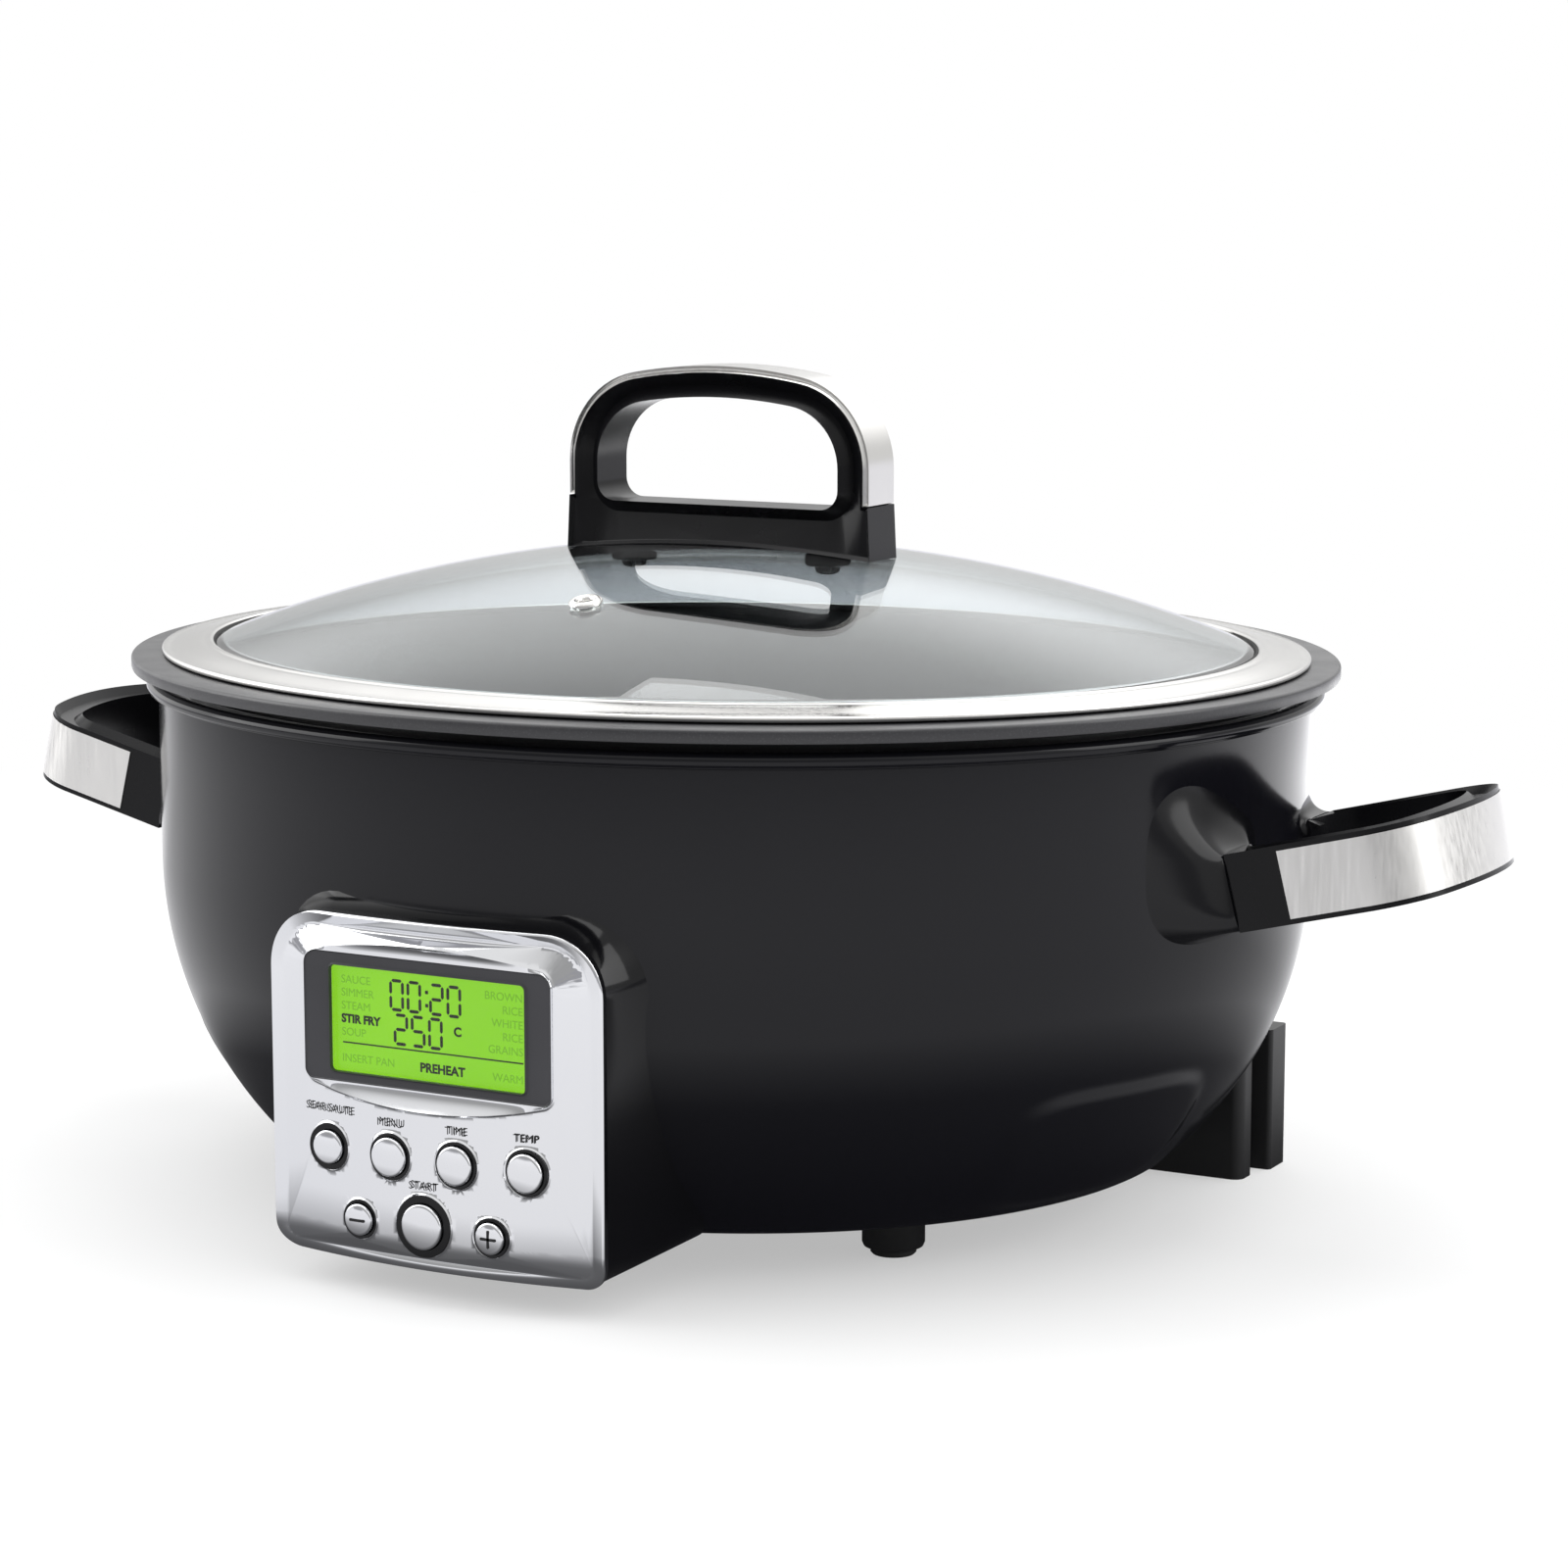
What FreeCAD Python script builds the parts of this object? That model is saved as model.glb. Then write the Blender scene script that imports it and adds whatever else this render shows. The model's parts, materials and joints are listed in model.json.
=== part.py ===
"""Oval multi-function slow cooker: a lift-off glass lid and a lift-out pan on a heated base.

Frame: millimetres, +Z up, +X to the user's right, the control pod faces -Y.
The origin is on the table, under the middle of the whole cooker.  Every piece is drawn
about the pan's upright centre line and then moved back by `set_back`, because the pod
stands further forward than the flange reaches backward.
"""
import FreeCAD, Part
import math
import os
import re

import Sketcher
from FreeCAD import Placement, Rotation, Vector

doc = FreeCAD.newDocument("slow_cooker")

# ---------------------------------------------------------------- driving dimensions

SIZES = {
    # pan
    "flange_long": (190.0, "half length of the pan's flange"),
    "flange_short": (171.4, "half width of the pan's flange"),
    "flange_top": (165.0, "height of the flange's top face"),
    "flange_thick": (4.0, "thickness of the flange"),
    "mouth_long": (167.0, "half length of the pan's mouth"),
    "mouth_short": (148.5, "half width of the pan's mouth"),
    "pan_wall": (3.5, "thickness of the cast pan"),
    "pan_foot": (57.0, "height of the pan's underside"),
    "pan_bend": (110.0, "height where the pan's wall starts to turn in"),
    "pan_arc": (56.0, "radius of the pan's lower wall, outside"),
    # outer shell
    "shell_long": (181.6, "half length of the outer shell"),
    "shell_short": (164.0, "half width of the outer shell"),
    "shell_top": (153.0, "height of the shell's top edge"),
    "shell_bend": (103.0, "height where the shell starts to turn in"),
    "shell_arc": (115.0, "radius of the shell's lower wall"),
    "shell_foot": (14.0, "height of the shell's underside"),
    "shell_wall": (1.2, "thickness of the shell"),
    "narrow_ratio": (0.78, "inward turn across the oval over the turn along it"),
    "pad_rise": (1.6, "height of the pressed pads on the shell"),
    # heat liner
    "liner_long": (173.7, "half length of the heat liner"),
    "liner_short": (156.0, "half width of the heat liner"),
    "liner_top": (152.0, "height of the liner's top edge"),
    "liner_bend": (104.0, "height where the liner starts to turn in"),
    "liner_arc": (96.0, "radius of the liner's lower wall"),
    "liner_foot": (40.0, "height of the liner's underside"),
    "liner_wall": (1.0, "thickness of the liner"),
    "plate_low": (50.0, "height of the heater plate's underside"),
    "plate_thick": (6.7, "thickness of the heater plate"),
    # lid
    "lid_long": (181.4, "half length of the lid's ring"),
    "lid_short": (160.4, "half width of the lid's ring"),
    "lid_low": (165.3, "height of the lid ring's underside"),
    "glass_long": (164.6, "half length of the glass"),
    "glass_short": (146.1, "half width of the glass"),
    "glass_edge": (168.0, "height of the glass's upper surface at its edge"),
    "glass_rise": (30.5, "rise of the glass from edge to crown"),
    "glass_thick": (3.8, "thickness of the glass"),
    "knob_deep": (18.0, "depth of the lid handle, front to back"),
    "knob_half": (50.3, "half length of the lid handle's arch"),
    "knob_top": (251.0, "height of the arch's black top"),
    "knob_corner": (26.0, "radius of the arch's shoulders"),
    "knob_crown": (160.0, "radius of the arch's top"),
    "window_half": (42.0, "half width of the lid handle's opening"),
    "window_low": (210.5, "height of the opening's lower edge"),
    "window_top": (243.5, "height of the opening's top"),
    "band_thick": (2.0, "thickness of the lid handle's metal band"),
    "lid_screw_x": (34.0, "distance of each lid screw from the centre"),
    # control pod
    "pod_face": (177.0, "distance of the pod's face from the pan's centre line"),
    "pod_half": (54.0, "half width of the pod's face"),
    "pod_low": (9.0, "height of the pod's underside"),
    "pod_top": (108.0, "height of the pod's top"),
    "pod_bow": (240.0, "radius of the pod's bowed face, seen from above"),
    "bezel_thick": (3.0, "thickness of the metal bezel"),
    "frame_half": (40.5, "half width of the display frame"),
    "frame_low": (60.6, "height of the display frame's lower edge"),
    "frame_high": (97.6, "height of the display frame's upper edge"),
    "glow_half": (31.2, "half width of the lit display"),
    "glow_low": (64.2, "height of the lit display's lower edge"),
    "glow_high": (93.0, "height of the lit display's upper edge"),
    "key_row": (41.6, "height of the upper row of buttons"),
    "start_row": (23.0, "height of the start button"),
    "step_row": (22.2, "height of the minus and plus buttons"),
    "key_out": (32.4, "distance of the outer buttons from the middle"),
    "key_in": (10.8, "distance of the inner buttons from the middle"),
    "step_out": (21.6, "distance of minus and plus from the middle"),
    "key_size": (12.6, "width of a button"),
    "start_size": (17.0, "width of the start button"),
    "step_size": (10.5, "width of the minus and plus buttons"),
    "key_proud": (1.8, "how far a button stands out of the bezel"),
    "key_travel": (1.2, "how far a button is pressed"),
    # side handles
    "grip_start": (200.0, "distance of a grip's pivot line from the centre"),
    "grip_level": (115.0, "height of a grip at its pivot line"),
    "grip_tilt": (14.0, "upward tilt of a grip in degrees"),
    "grip_half": (44.0, "half width of a grip"),
    "grip_reach": (47.0, "reach of a grip beyond its pivot line"),
    "grip_corner": (20.0, "radius of a grip's corners, seen from above"),
    "grip_crown": (100.0, "radius of a grip's outer end, seen from above"),
    "grip_tall": (22.6, "height of a grip"),
    "strap_tall": (19.5, "height of a grip's metal strap"),
    "strap_thick": (1.4, "thickness of a grip's metal strap"),
    "boss_y": (36.0, "distance of a handle boss from the middle"),
    # feet
    "foot_x": (90.0, "distance of a front foot from the middle, sideways"),
    "foot_y": (65.0, "distance of a front foot from the middle, forwards"),
    "foot_width": (18.5, "width of a front foot"),
    "tread_width": (13.5, "width of a rubber tread"),
    "tread_tall": (2.0, "height of a rubber tread"),
    "leg_x": (148.5, "distance of a rear leg's outer side from the middle"),
    "leg_y": (60.0, "distance of a rear leg's front from the middle"),
    # whole
    "set_back": (3.7, "shift that centres the cooker front to back"),
}

sheet = doc.addObject("Spreadsheet::Sheet", "Sizes")
for row, (alias, (value, meaning)) in enumerate(SIZES.items(), start=1):
    sheet.set(f"A{row}", meaning)
    sheet.set(f"B{row}", str(value))
    sheet.setAlias(f"B{row}", alias)
doc.recompute()


def size(alias):
    """A driving dimension, read from the sheet."""
    return float(sheet.get(alias))


# ---------------------------------------------------------------- modelling helpers

SUBPARTS = []


def bind(thing, sizes):
    """Tie properties to expressions written with the sheet's aliases."""
    for name, text in sizes.items():
        thing.setExpression(name, with_sheet(text))
    return thing


def with_sheet(text):
    """Put the sheet's name before each alias in an expression."""
    return re.sub(r"[a-z_]+", lambda found: f"Sizes.{found[0]}" if found[0] in SIZES else found[0],
                  str(text))


def oval(name, long_half, short_half, level):
    """An upright-axis ellipse, longer along X."""
    ring = doc.addObject("Part::Ellipse", name)
    return bind(ring, {"MajorRadius": long_half, "MinorRadius": short_half,
                       "Placement.Base.z": level})


def oval_prism(name, long_half, short_half, low, high):
    """A straight oval block from one level to another."""
    block = doc.addObject("Part::Extrusion", name)
    block.Base = oval(name + "_outline", long_half, short_half, low)
    block.DirMode = "Custom"
    block.Dir = Vector(0, 0, 1)
    block.Solid = True
    return bind(block, {"LengthFwd": f"{high} - ( {low} )"})


def loft(name, sections, ruled=False):
    """A solid through a row of closed outlines."""
    body = doc.addObject("Part::Loft", name)
    body.Sections = sections
    body.Solid = True
    body.Ruled = ruled
    return body


def fuse(name, pieces):
    """One solid from several."""
    whole = doc.addObject("Part::MultiFuse", name)
    whole.Shapes = pieces
    whole.Refine = True
    return whole


def cut(name, body, tools):
    """A body with one or more tools taken out of it."""
    tool = tools[0] if len(tools) == 1 else fuse(name + "_tools", tools)
    rest = doc.addObject("Part::Cut", name)
    rest.Base = body
    rest.Tool = tool
    return rest


def common(name, first, second):
    """What two solids share."""
    shared = doc.addObject("Part::Common", name)
    shared.Base = first
    shared.Tool = second
    return shared


def group(name, pieces):
    """Separate solids kept together in one sub-part."""
    together = doc.addObject("Part::Compound", name)
    together.Links = pieces
    return together


def rounded(name, body, radius, wanted):
    """Round the edges of a body that the test `wanted` picks."""
    doc.recompute()
    result = doc.addObject("Part::Fillet", name)
    result.Base = body
    edges = enumerate(body.Shape.Edges, start=1)
    result.Edges = [(number, radius, radius) for number, edge in edges if wanted(edge)]
    return result


def bowl(name, long_half, short_half, top, bend, arc, foot, steps=6):
    """A solid oval bowl: a straight wall down to `bend`, then an arc down to `foot`."""
    end = f"asin(({bend} - {foot}) / {arc})"
    sections = []
    for step in range(steps + 1):
        angle = f"{step / steps:.4f} * {end}"
        turn = f"{arc} * (1 - cos({angle}))"
        sections.append(oval(f"{name}_section_{step}",
                             f"{long_half} - {turn}",
                             f"{short_half} - narrow_ratio * {turn}",
                             f"{bend} - {arc} * sin({angle})"))
    lower = loft(name + "_lower", sections)
    upper = oval_prism(name + "_upper", long_half, short_half, bend, top)
    return fuse(name, [lower, upper])


def block(name, low, high):
    """A box between two corners, each given as three expressions."""
    box = doc.addObject("Part::Box", name)
    return bind(box, {
        "Length": f"{high[0]} - ( {low[0]} )",
        "Width": f"{high[1]} - ( {low[1]} )",
        "Height": f"{high[2]} - ( {low[2]} )",
        "Placement.Base.x": low[0], "Placement.Base.y": low[1], "Placement.Base.z": low[2]})


TURNS = {"x": Rotation(Vector(0, 1, 0), 90),
         "y": Rotation(Vector(1, 0, 0), -90),
         "z": Rotation()}


def rod(name, radius, start, length, along="z"):
    """A cylinder from `start` (three expressions), along +X, +Y or +Z."""
    cylinder = doc.addObject("Part::Cylinder", name)
    cylinder.Placement = Placement(Vector(), TURNS[along])
    return bind(cylinder, {
        "Radius": radius, "Height": length,
        "Placement.Base.x": start[0], "Placement.Base.y": start[1],
        "Placement.Base.z": start[2]})


def front_outline(name, half, low, high, low_round, high_round, distance):
    """A closed sketch seen from the front, `distance` forward of the pan's centre line."""
    sketch = doc.addObject("Sketcher::SketchObject", name)
    sketch.Placement = Placement(Vector(), Rotation(Vector(1, 0, 0), 90))
    bind(sketch, {"Placement.Base.y": f"0 - ( {distance} )"})
    fill_outline(sketch, half, low, high, low_round, high_round)
    return sketch


def fill_outline(sketch, half, low, high, low_round, high_round):
    """Draw a rectangle with rounded corners, constrained to the sheet."""
    right, bottom, top = 50.0, 20.0, 90.0
    small, up = 5.0, Vector(0, 0, 1)
    corners = [(right - small, bottom + small, -90), (right - small, top - small, 0),
               (small - right, top - small, 90), (small - right, bottom + small, 180)]
    ends = []
    for x, y, start in corners:
        circle = Part.Circle(Vector(x, y, 0), up, small)
        arc = Part.ArcOfCircle(circle, math.radians(start), math.radians(start + 90))
        ends.append((arc, arc.StartPoint, arc.EndPoint))
    for number in range(4):
        before = ends[number - 1][2]
        arc, begin, _ = ends[number]
        sketch.addGeometry(Part.LineSegment(before, begin), False)
        sketch.addGeometry(arc, False)
    for edge in range(8):
        sketch.addConstraint(Sketcher.Constraint("Tangent", edge, 2, (edge + 1) % 8, 1))
    for line, direction in ((0, "Horizontal"), (2, "Vertical"), (4, "Horizontal"), (6, "Vertical")):
        sketch.addConstraint(Sketcher.Constraint(direction, line))
    sketch.addConstraint(Sketcher.Constraint("Equal", 1, 7))
    sketch.addConstraint(Sketcher.Constraint("Equal", 3, 5))
    driven = ((Sketcher.Constraint("Radius", 1, small), low_round),
              (Sketcher.Constraint("Radius", 3, small), high_round),
              (Sketcher.Constraint("DistanceX", -1, 1, 2, 1, right), half),
              (Sketcher.Constraint("DistanceX", 6, 1, -1, 1, right), half),
              (Sketcher.Constraint("DistanceY", -1, 1, 0, 1, bottom), low),
              (Sketcher.Constraint("DistanceY", -1, 1, 4, 1, top), high))
    for constraint, text in driven:
        index = sketch.addConstraint(constraint)
        sketch.setExpression(f"Constraints[{index}]", with_sheet(text))


def front_slab(name, half, low, high, low_round, high_round, distance, thick):
    """A rounded plate facing the front, from `distance` back towards the pan by `thick`."""
    slab = doc.addObject("Part::Extrusion", name)
    slab.Base = front_outline(name + "_outline", half, low, high, low_round, high_round, distance)
    slab.DirMode = "Custom"
    slab.Dir = Vector(0, 1, 0)
    slab.Solid = True
    return bind(slab, {"LengthFwd": thick})


def subpart(name, thing):
    """Name a finished piece and move it back with the rest of the cooker."""
    thing.Label = name
    bound = {path.lstrip("."): text for path, text in thing.ExpressionEngine}
    start = bound.get("Placement.Base.y", str(thing.Placement.Base.y))
    thing.setExpression("Placement.Base.y", f"{start} + Sizes.set_back")
    SUBPARTS.append((name, thing))
    return thing


# ---------------------------------------------------------------- outer shell and base

def shell_solid():
    """The space inside the shell's outer surface, made once and used to trim what touches it."""
    return doc.getObject("shell_outside") or bowl(
        "shell_outside", "shell_long", "shell_short", "shell_top", "shell_bend", "shell_arc",
        "shell_foot")


def pressed_pad(side):
    """A low rounded pad on the shell, under the front half of a side handle."""
    raised = bowl(f"pad_skin_{side}", "( shell_long + pad_rise )", "( shell_short + pad_rise )",
                  "shell_top", "shell_bend", "( shell_arc + pad_rise )", "( shell_foot + 4 )")
    reach = doc.addObject("Part::Box", f"pad_reach_{side}")
    reach.Length, reach.Width, reach.Height = 70, 68, 36
    turn = Rotation(Vector(0, 0, 1), -23 if side == "right" else 180 + 23)
    centre = Vector(120 if side == "right" else -120, -40, 36)
    reach.Placement = Placement(centre, turn) * Placement(Vector(0, -34, 0), Rotation())
    soft = rounded(f"pad_soft_{side}", reach, 15,
                   lambda edge: runs_along(edge, turn.multVec(Vector(1, 0, 0))))
    return common(f"pad_{side}", raised, soft)


def runs_along(edge, direction):
    """Whether a straight edge points along a direction."""
    if edge.Curve.TypeId != "Part::GeomLine":
        return False
    return abs(edge.Curve.Direction.dot(direction)) > 0.999


def make_shell():
    inside = bowl("shell_inside", "( shell_long - shell_wall )", "( shell_short - shell_wall )",
                  "( shell_top + 1 )", "shell_bend", "( shell_arc - shell_wall )",
                  "( shell_foot + shell_wall )")
    opening = oval_prism("shell_opening", 88, 78, "shell_foot - 1", "shell_foot + 3")
    window = block("shell_window", (-42, "0 - shell_short - 8", 24),
                   (42, "0 - shell_short + 60", 100))
    outside = fuse("shell_pressed", [shell_solid(), pressed_pad("left"),
                                     pressed_pad("right")])
    tools = [inside, opening, window, gland_bore("shell_gland_bore", 6.15)]
    tools += [screw_bore("shell_grip_bore", corner, 2.2) for corner in GRIP_CORNERS]
    tools += [rod(f"shell_base_hole_{x}_{y}", 2.2, (x, y, "shell_foot - 1"), 4)
              for x, y in BASE_SCREWS]
    subpart("outer_shell", cut("outer_shell", outside, tools))


def make_rim_ring():
    """The gloss black ring that caps the shell's and the liner's top edges."""
    band = oval_prism("rim_band", "shell_long + 3.6", "shell_short + 3.6", "shell_top + 0.1",
                      "shell_top + 5")
    edge = rounded("rim_bead", band, 2.2, lambda e: e.Length > 500)
    hole = oval_prism("rim_hole", "liner_long - liner_wall", "liner_short - liner_wall",
                      "shell_top - 1", "shell_top + 6")
    subpart("rim_ring", cut("rim_ring", edge, [hole]))


def make_liner():
    outside = bowl("liner_outside", "liner_long", "liner_short", "liner_top", "liner_bend",
                   "liner_arc", "liner_foot")
    inside = bowl("liner_inside", "( liner_long - liner_wall )", "( liner_short - liner_wall )",
                  "( liner_top + 2 )", "liner_bend", "( liner_arc - liner_wall )",
                  "( liner_foot + liner_wall )")
    lip = cut("liner_lip", oval_prism("lip_out", "shell_long - shell_wall - 0.3",
                                      "shell_short - shell_wall - 0.3", "liner_top",
                                      "liner_top + liner_wall"),
              [oval_prism("lip_in", "liner_long - liner_wall", "liner_short - liner_wall",
                          "liner_top - 1", "liner_top + 3")])
    holes = [rod("liner_sensor_hole", 13, (0, 0, "liner_foot - 2"), 6)]
    holes += [rod("liner_terminal_hole", 4, (98, y, "liner_foot - 2"), 6) for y in (-12, 12)]
    hollow = cut("liner_hollow", outside, [inside] + holes)
    subpart("heat_liner", fuse("heat_liner", [hollow, lip]))


def make_insulation():
    """A glass-fibre blanket round the liner's straight wall."""
    band = oval_prism("blanket_out", "liner_long + 3.6", "liner_short + 3.6", 118, 148)
    hole = oval_prism("blanket_in", "liner_long + 0.3", "liner_short + 0.3", 117, 149)
    subpart("insulation_blanket", cut("insulation_blanket", band, [hole]))


def make_heater():
    plate = oval_prism("plate_block", 118, 102, "plate_low", "plate_low + plate_thick")
    sensor_hole = rod("plate_sensor_hole", 13, (0, 0, "plate_low - 1"), "plate_thick + 2")
    subpart("heater_plate", cut("heater_plate", plate, [sensor_hole]))

    path = bind(doc.addObject("Part::Ellipse", "element_path"),
                {"MajorRadius": 88, "MinorRadius": 74, "Placement.Base.z": "plate_low - 3.7"})
    path.Angle1, path.Angle2 = 10, 350
    tube = doc.addObject("Part::Circle", "element_section")
    tube.Radius = 3.5
    begin = math.radians(path.Angle1)
    at = Vector(88 * math.cos(begin), 74 * math.sin(begin), size("plate_low") - 3.7)
    ahead = Vector(-88 * math.sin(begin), 74 * math.cos(begin), 0)
    tube.Placement = Placement(at, Rotation(Vector(0, 0, 1), ahead))
    doc.recompute()
    element = doc.addObject("Part::Sweep", "heating_element")
    element.Sections = [tube]
    element.Spine = (path, ["Edge1"])
    element.Solid = True
    subpart("heating_element", element)

    posts = [rod(f"plate_post_{x}_{y}", 5, (x, y, "liner_foot + liner_wall"),
                 "plate_low - liner_foot - liner_wall")
             for x in (-108, 108) for y in (-22, 22)]
    subpart("plate_posts", group("plate_posts", posts))

    fuse_body = rod("thermal_fuse_body", 3, (28, 30, 45), 22, along="x")
    subpart("thermal_fuse", fuse_body)


def make_sensor():
    """The spring-loaded sensor that touches the pan through the heater plate."""
    walls = fuse("sensor_cup_walls", [rod("sensor_cup_out", 12.5, (0, 0, 20), 22.0),
                                      rod("sensor_cup_flange", 17, (0, 0, 38.4), 1.6)])
    cup = cut("sensor_cup_hollow", walls, [rod("sensor_cup_in", 11, (0, 0, 22), 30)])
    subpart("sensor_cup", cup)
    cap = rod("plunger_cap", 10.5, (0, 0, 44), 12.7)
    hollow = rod("plunger_hollow", 9.3, (0, 0, 43), 12)
    subpart("sensor_plunger", cut("sensor_plunger", cap, [hollow]))
    turn = coil_points(7.5, 22.6, 5.3, 6)
    coil = doc.addObject("Part::Feature", "sensor_coil")
    coil.Shape = Part.makePolygon(turn)
    wire = doc.addObject("Part::RegularPolygon", "sensor_wire")
    wire.Polygon, wire.Circumradius = 6, 0.65
    wire.Placement = Placement(turn[0], Rotation(Vector(0, 0, 1), turn[1] - turn[0]))
    doc.recompute()
    spring = doc.addObject("Part::Sweep", "sensor_spring")
    spring.Sections = [wire]
    spring.Spine = (coil, [f"Edge{number}" for number in range(1, len(turn))])
    spring.Transition = "Right corner"
    spring.Solid = True
    subpart("sensor_spring", spring)


def coil_points(radius, low, pitch, turns, corners=12):
    """The centre line of a coil spring, as short straight runs."""
    points = []
    for step in range(turns * corners + 1):
        angle = 2 * math.pi * step / corners
        points.append(Vector(radius * math.cos(angle), radius * math.sin(angle),
                             low + pitch * step / corners))
    return points


BASE_SCREWS = [(x, y) for x in (-66, 66) for y in (-60, 60)]


def make_base_cover():
    cover = oval_prism("cover_plate", 100, 90, "shell_foot - 2.6", "shell_foot - 0.05")
    slots = [block(f"cover_slot_{number}", (-30, number * 9 - 1.5, 8), (30, number * 9 + 1.5, 18))
             for number in range(-3, 4)]
    holes = [rod(f"cover_hole_{x}_{y}", 2.2, (x, y, 8), 10) for x, y in BASE_SCREWS]
    subpart("base_cover", cut("base_cover", cover, slots + holes))
    screws = []
    for x, y in BASE_SCREWS:
        head = rod(f"base_head_{x}_{y}", 4, (x, y, "shell_foot - 4.6"), 2)
        stem = rod(f"base_stem_{x}_{y}", 2, (x, y, "shell_foot - 2.6"), 12)
        screws.append(fuse(f"base_screw_{x}_{y}", [head, stem]))
    subpart("base_screws", group("base_screws", screws))
    posts = []
    for x, y in BASE_SCREWS:
        post = rod(f"base_post_out_{x}_{y}", 5, (x, y, "shell_foot + shell_wall"),
                   "liner_foot - shell_foot - shell_wall")
        bore = rod(f"base_post_bore_{x}_{y}", 2.05, (x, y, 10), 15)
        posts.append(cut(f"base_post_{x}_{y}", post, [bore]))
    subpart("base_posts", group("base_posts", posts))


def make_feet():
    collars, treads = [], []
    for side in (-1, 1):
        spot = (f"{side} * foot_x", "0 - foot_y")
        collar = rod(f"foot_collar_{side}", "foot_width / 2", (*spot, "tread_tall"),
                     "shell_foot - tread_tall")
        collars.append(collar)
        treads.append(rod(f"foot_tread_{side}", "tread_width / 2", (*spot, 0), "tread_tall"))
    subpart("front_feet", group("front_feet", collars))
    subpart("foot_treads", group("foot_treads", treads))


def make_rear_legs():
    """Each rear leg is also one end of the cord wrap: two flanges with a narrower core."""
    for side, name in ((-1, "left_rear_leg"), (1, "right_rear_leg")):
        def slab(part, inner, outer, near, far, top):
            low_x, high_x = sorted((side * inner, side * outer))
            return block(f"{name}_{part}", (low_x, f"leg_y + {near}", 0),
                         (high_x, f"leg_y + {far}", top))
        outer = size("leg_x")
        front = slab("front", 96, outer, 0, 11, 46)
        front = rounded(f"{name}_front_round", front, 3.5,
                        lambda edge: runs_along(edge, Vector(0, 0, 1)))
        core = slab("core", 100, outer - 10, 10, 18, 40)
        rear = slab("rear", 96, outer + 3, 17, 30, 45)
        rear = rounded(f"{name}_rear_round", rear, 1.5,
                       lambda edge: runs_along(edge, Vector(0, 0, 1)))
        whole = fuse(f"{name}_whole", [front, core, rear])
        subpart(name, cut(name, whole, [shell_solid()]))


GLAND_LEVEL = 45.0


def gland_axis():
    """Where the cord's gland meets the shell's rear wall, and the outward direction."""
    angle = math.asin((size("shell_bend") - GLAND_LEVEL) / size("shell_arc"))
    inward = size("shell_arc") * (1 - math.cos(angle)) * size("narrow_ratio")
    spot = Vector(0, size("shell_short") - inward, GLAND_LEVEL)
    outward = Vector(0, math.cos(angle), -size("narrow_ratio") * math.sin(angle)).normalize()
    return spot, outward


def gland_bore(name, radius, start=-8.0, length=16.0):
    spot, outward = gland_axis()
    bore = doc.addObject("Part::Cylinder", name)
    bore.Radius, bore.Height = radius, length
    bore.Placement = Placement(spot + outward * start, Rotation(Vector(0, 0, 1), outward))
    return bore


def make_gland():
    stem = gland_bore("gland_stem", 6.0, -6, 12)
    collar = gland_bore("gland_collar", 9.0, 1.0, 3)
    tail = gland_bore("gland_tail", 5.6, 4, 7)
    whole = fuse("gland_whole", [stem, collar, tail])
    bore = gland_bore("gland_inner", 3.6, -8, 24)
    trimmed = cut("gland_trimmed", whole, [bore])
    subpart("cord_gland", trimmed)


# ---------------------------------------------------------------- side handles

GRIP_CORNERS = [(side, end) for side in (-1, 1) for end in (-1, 1)]


def screw_bore(name, corner, radius, start=168.0, length=30.0):
    """A hole along X through the shell, the boss and a grip's end."""
    side, end = corner
    first = start if side > 0 else -start - length
    return rod(f"{name}_{side}_{end}", radius, (first, f"{end} * boss_y", "grip_level - 3.5"),
               length, along="x")


def flared(name, near, far):
    """A loft between two upright rounded rectangles that face sideways."""
    sections = []
    for number, (x, y, z, wide, tall, radius) in enumerate((near, far)):
        wire = doc.addObject("Part::Feature", f"{name}_{number}")
        wire.Shape = rounded_wire(wide, tall, radius)
        wire.Placement = Placement(Vector(x, y, z), Rotation(Vector(1, 1, 1), 120))
        sections.append(wire)
    return loft(name, sections, ruled=True)


def rounded_wire(wide, tall, radius):
    """A rounded rectangle about the origin, in the XY plane."""
    corners = [(wide / 2 - radius, tall / 2 - radius, 0), (radius - wide / 2, tall / 2 - radius, 90),
               (radius - wide / 2, radius - tall / 2, 180), (wide / 2 - radius, radius - tall / 2, 270)]
    arcs = []
    for x, y, start in corners:
        circle = Part.Circle(Vector(x, y, 0), Vector(0, 0, 1), radius)
        arcs.append(Part.ArcOfCircle(circle, math.radians(start), math.radians(start + 90)))
    edges = []
    for number, arc in enumerate(arcs):
        edges.append(Part.LineSegment(arcs[number - 1].EndPoint, arc.StartPoint).toShape())
        edges.append(arc.toShape())
    return Part.Wire(edges)


def make_bosses():
    for side, name in ((-1, "left_handle_bosses"), (1, "right_handle_bosses")):
        pieces = []
        for end in (-1, 1):
            level = size("grip_level")
            near = (side * 158, end * size("boss_y"), level + 5, 52, 48, 16)
            far = (side * 182.4, end * size("boss_y"), level - 3, 23, 24, 5)
            horn = flared(f"boss_{side}_{end}", near, far)
            tools = [shell_solid(),
                     screw_bore("boss_bore", (side, end), 2.1)]
            pieces.append(cut(f"boss_cut_{side}_{end}", horn, tools))
        subpart(name, group(name, pieces))


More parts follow.
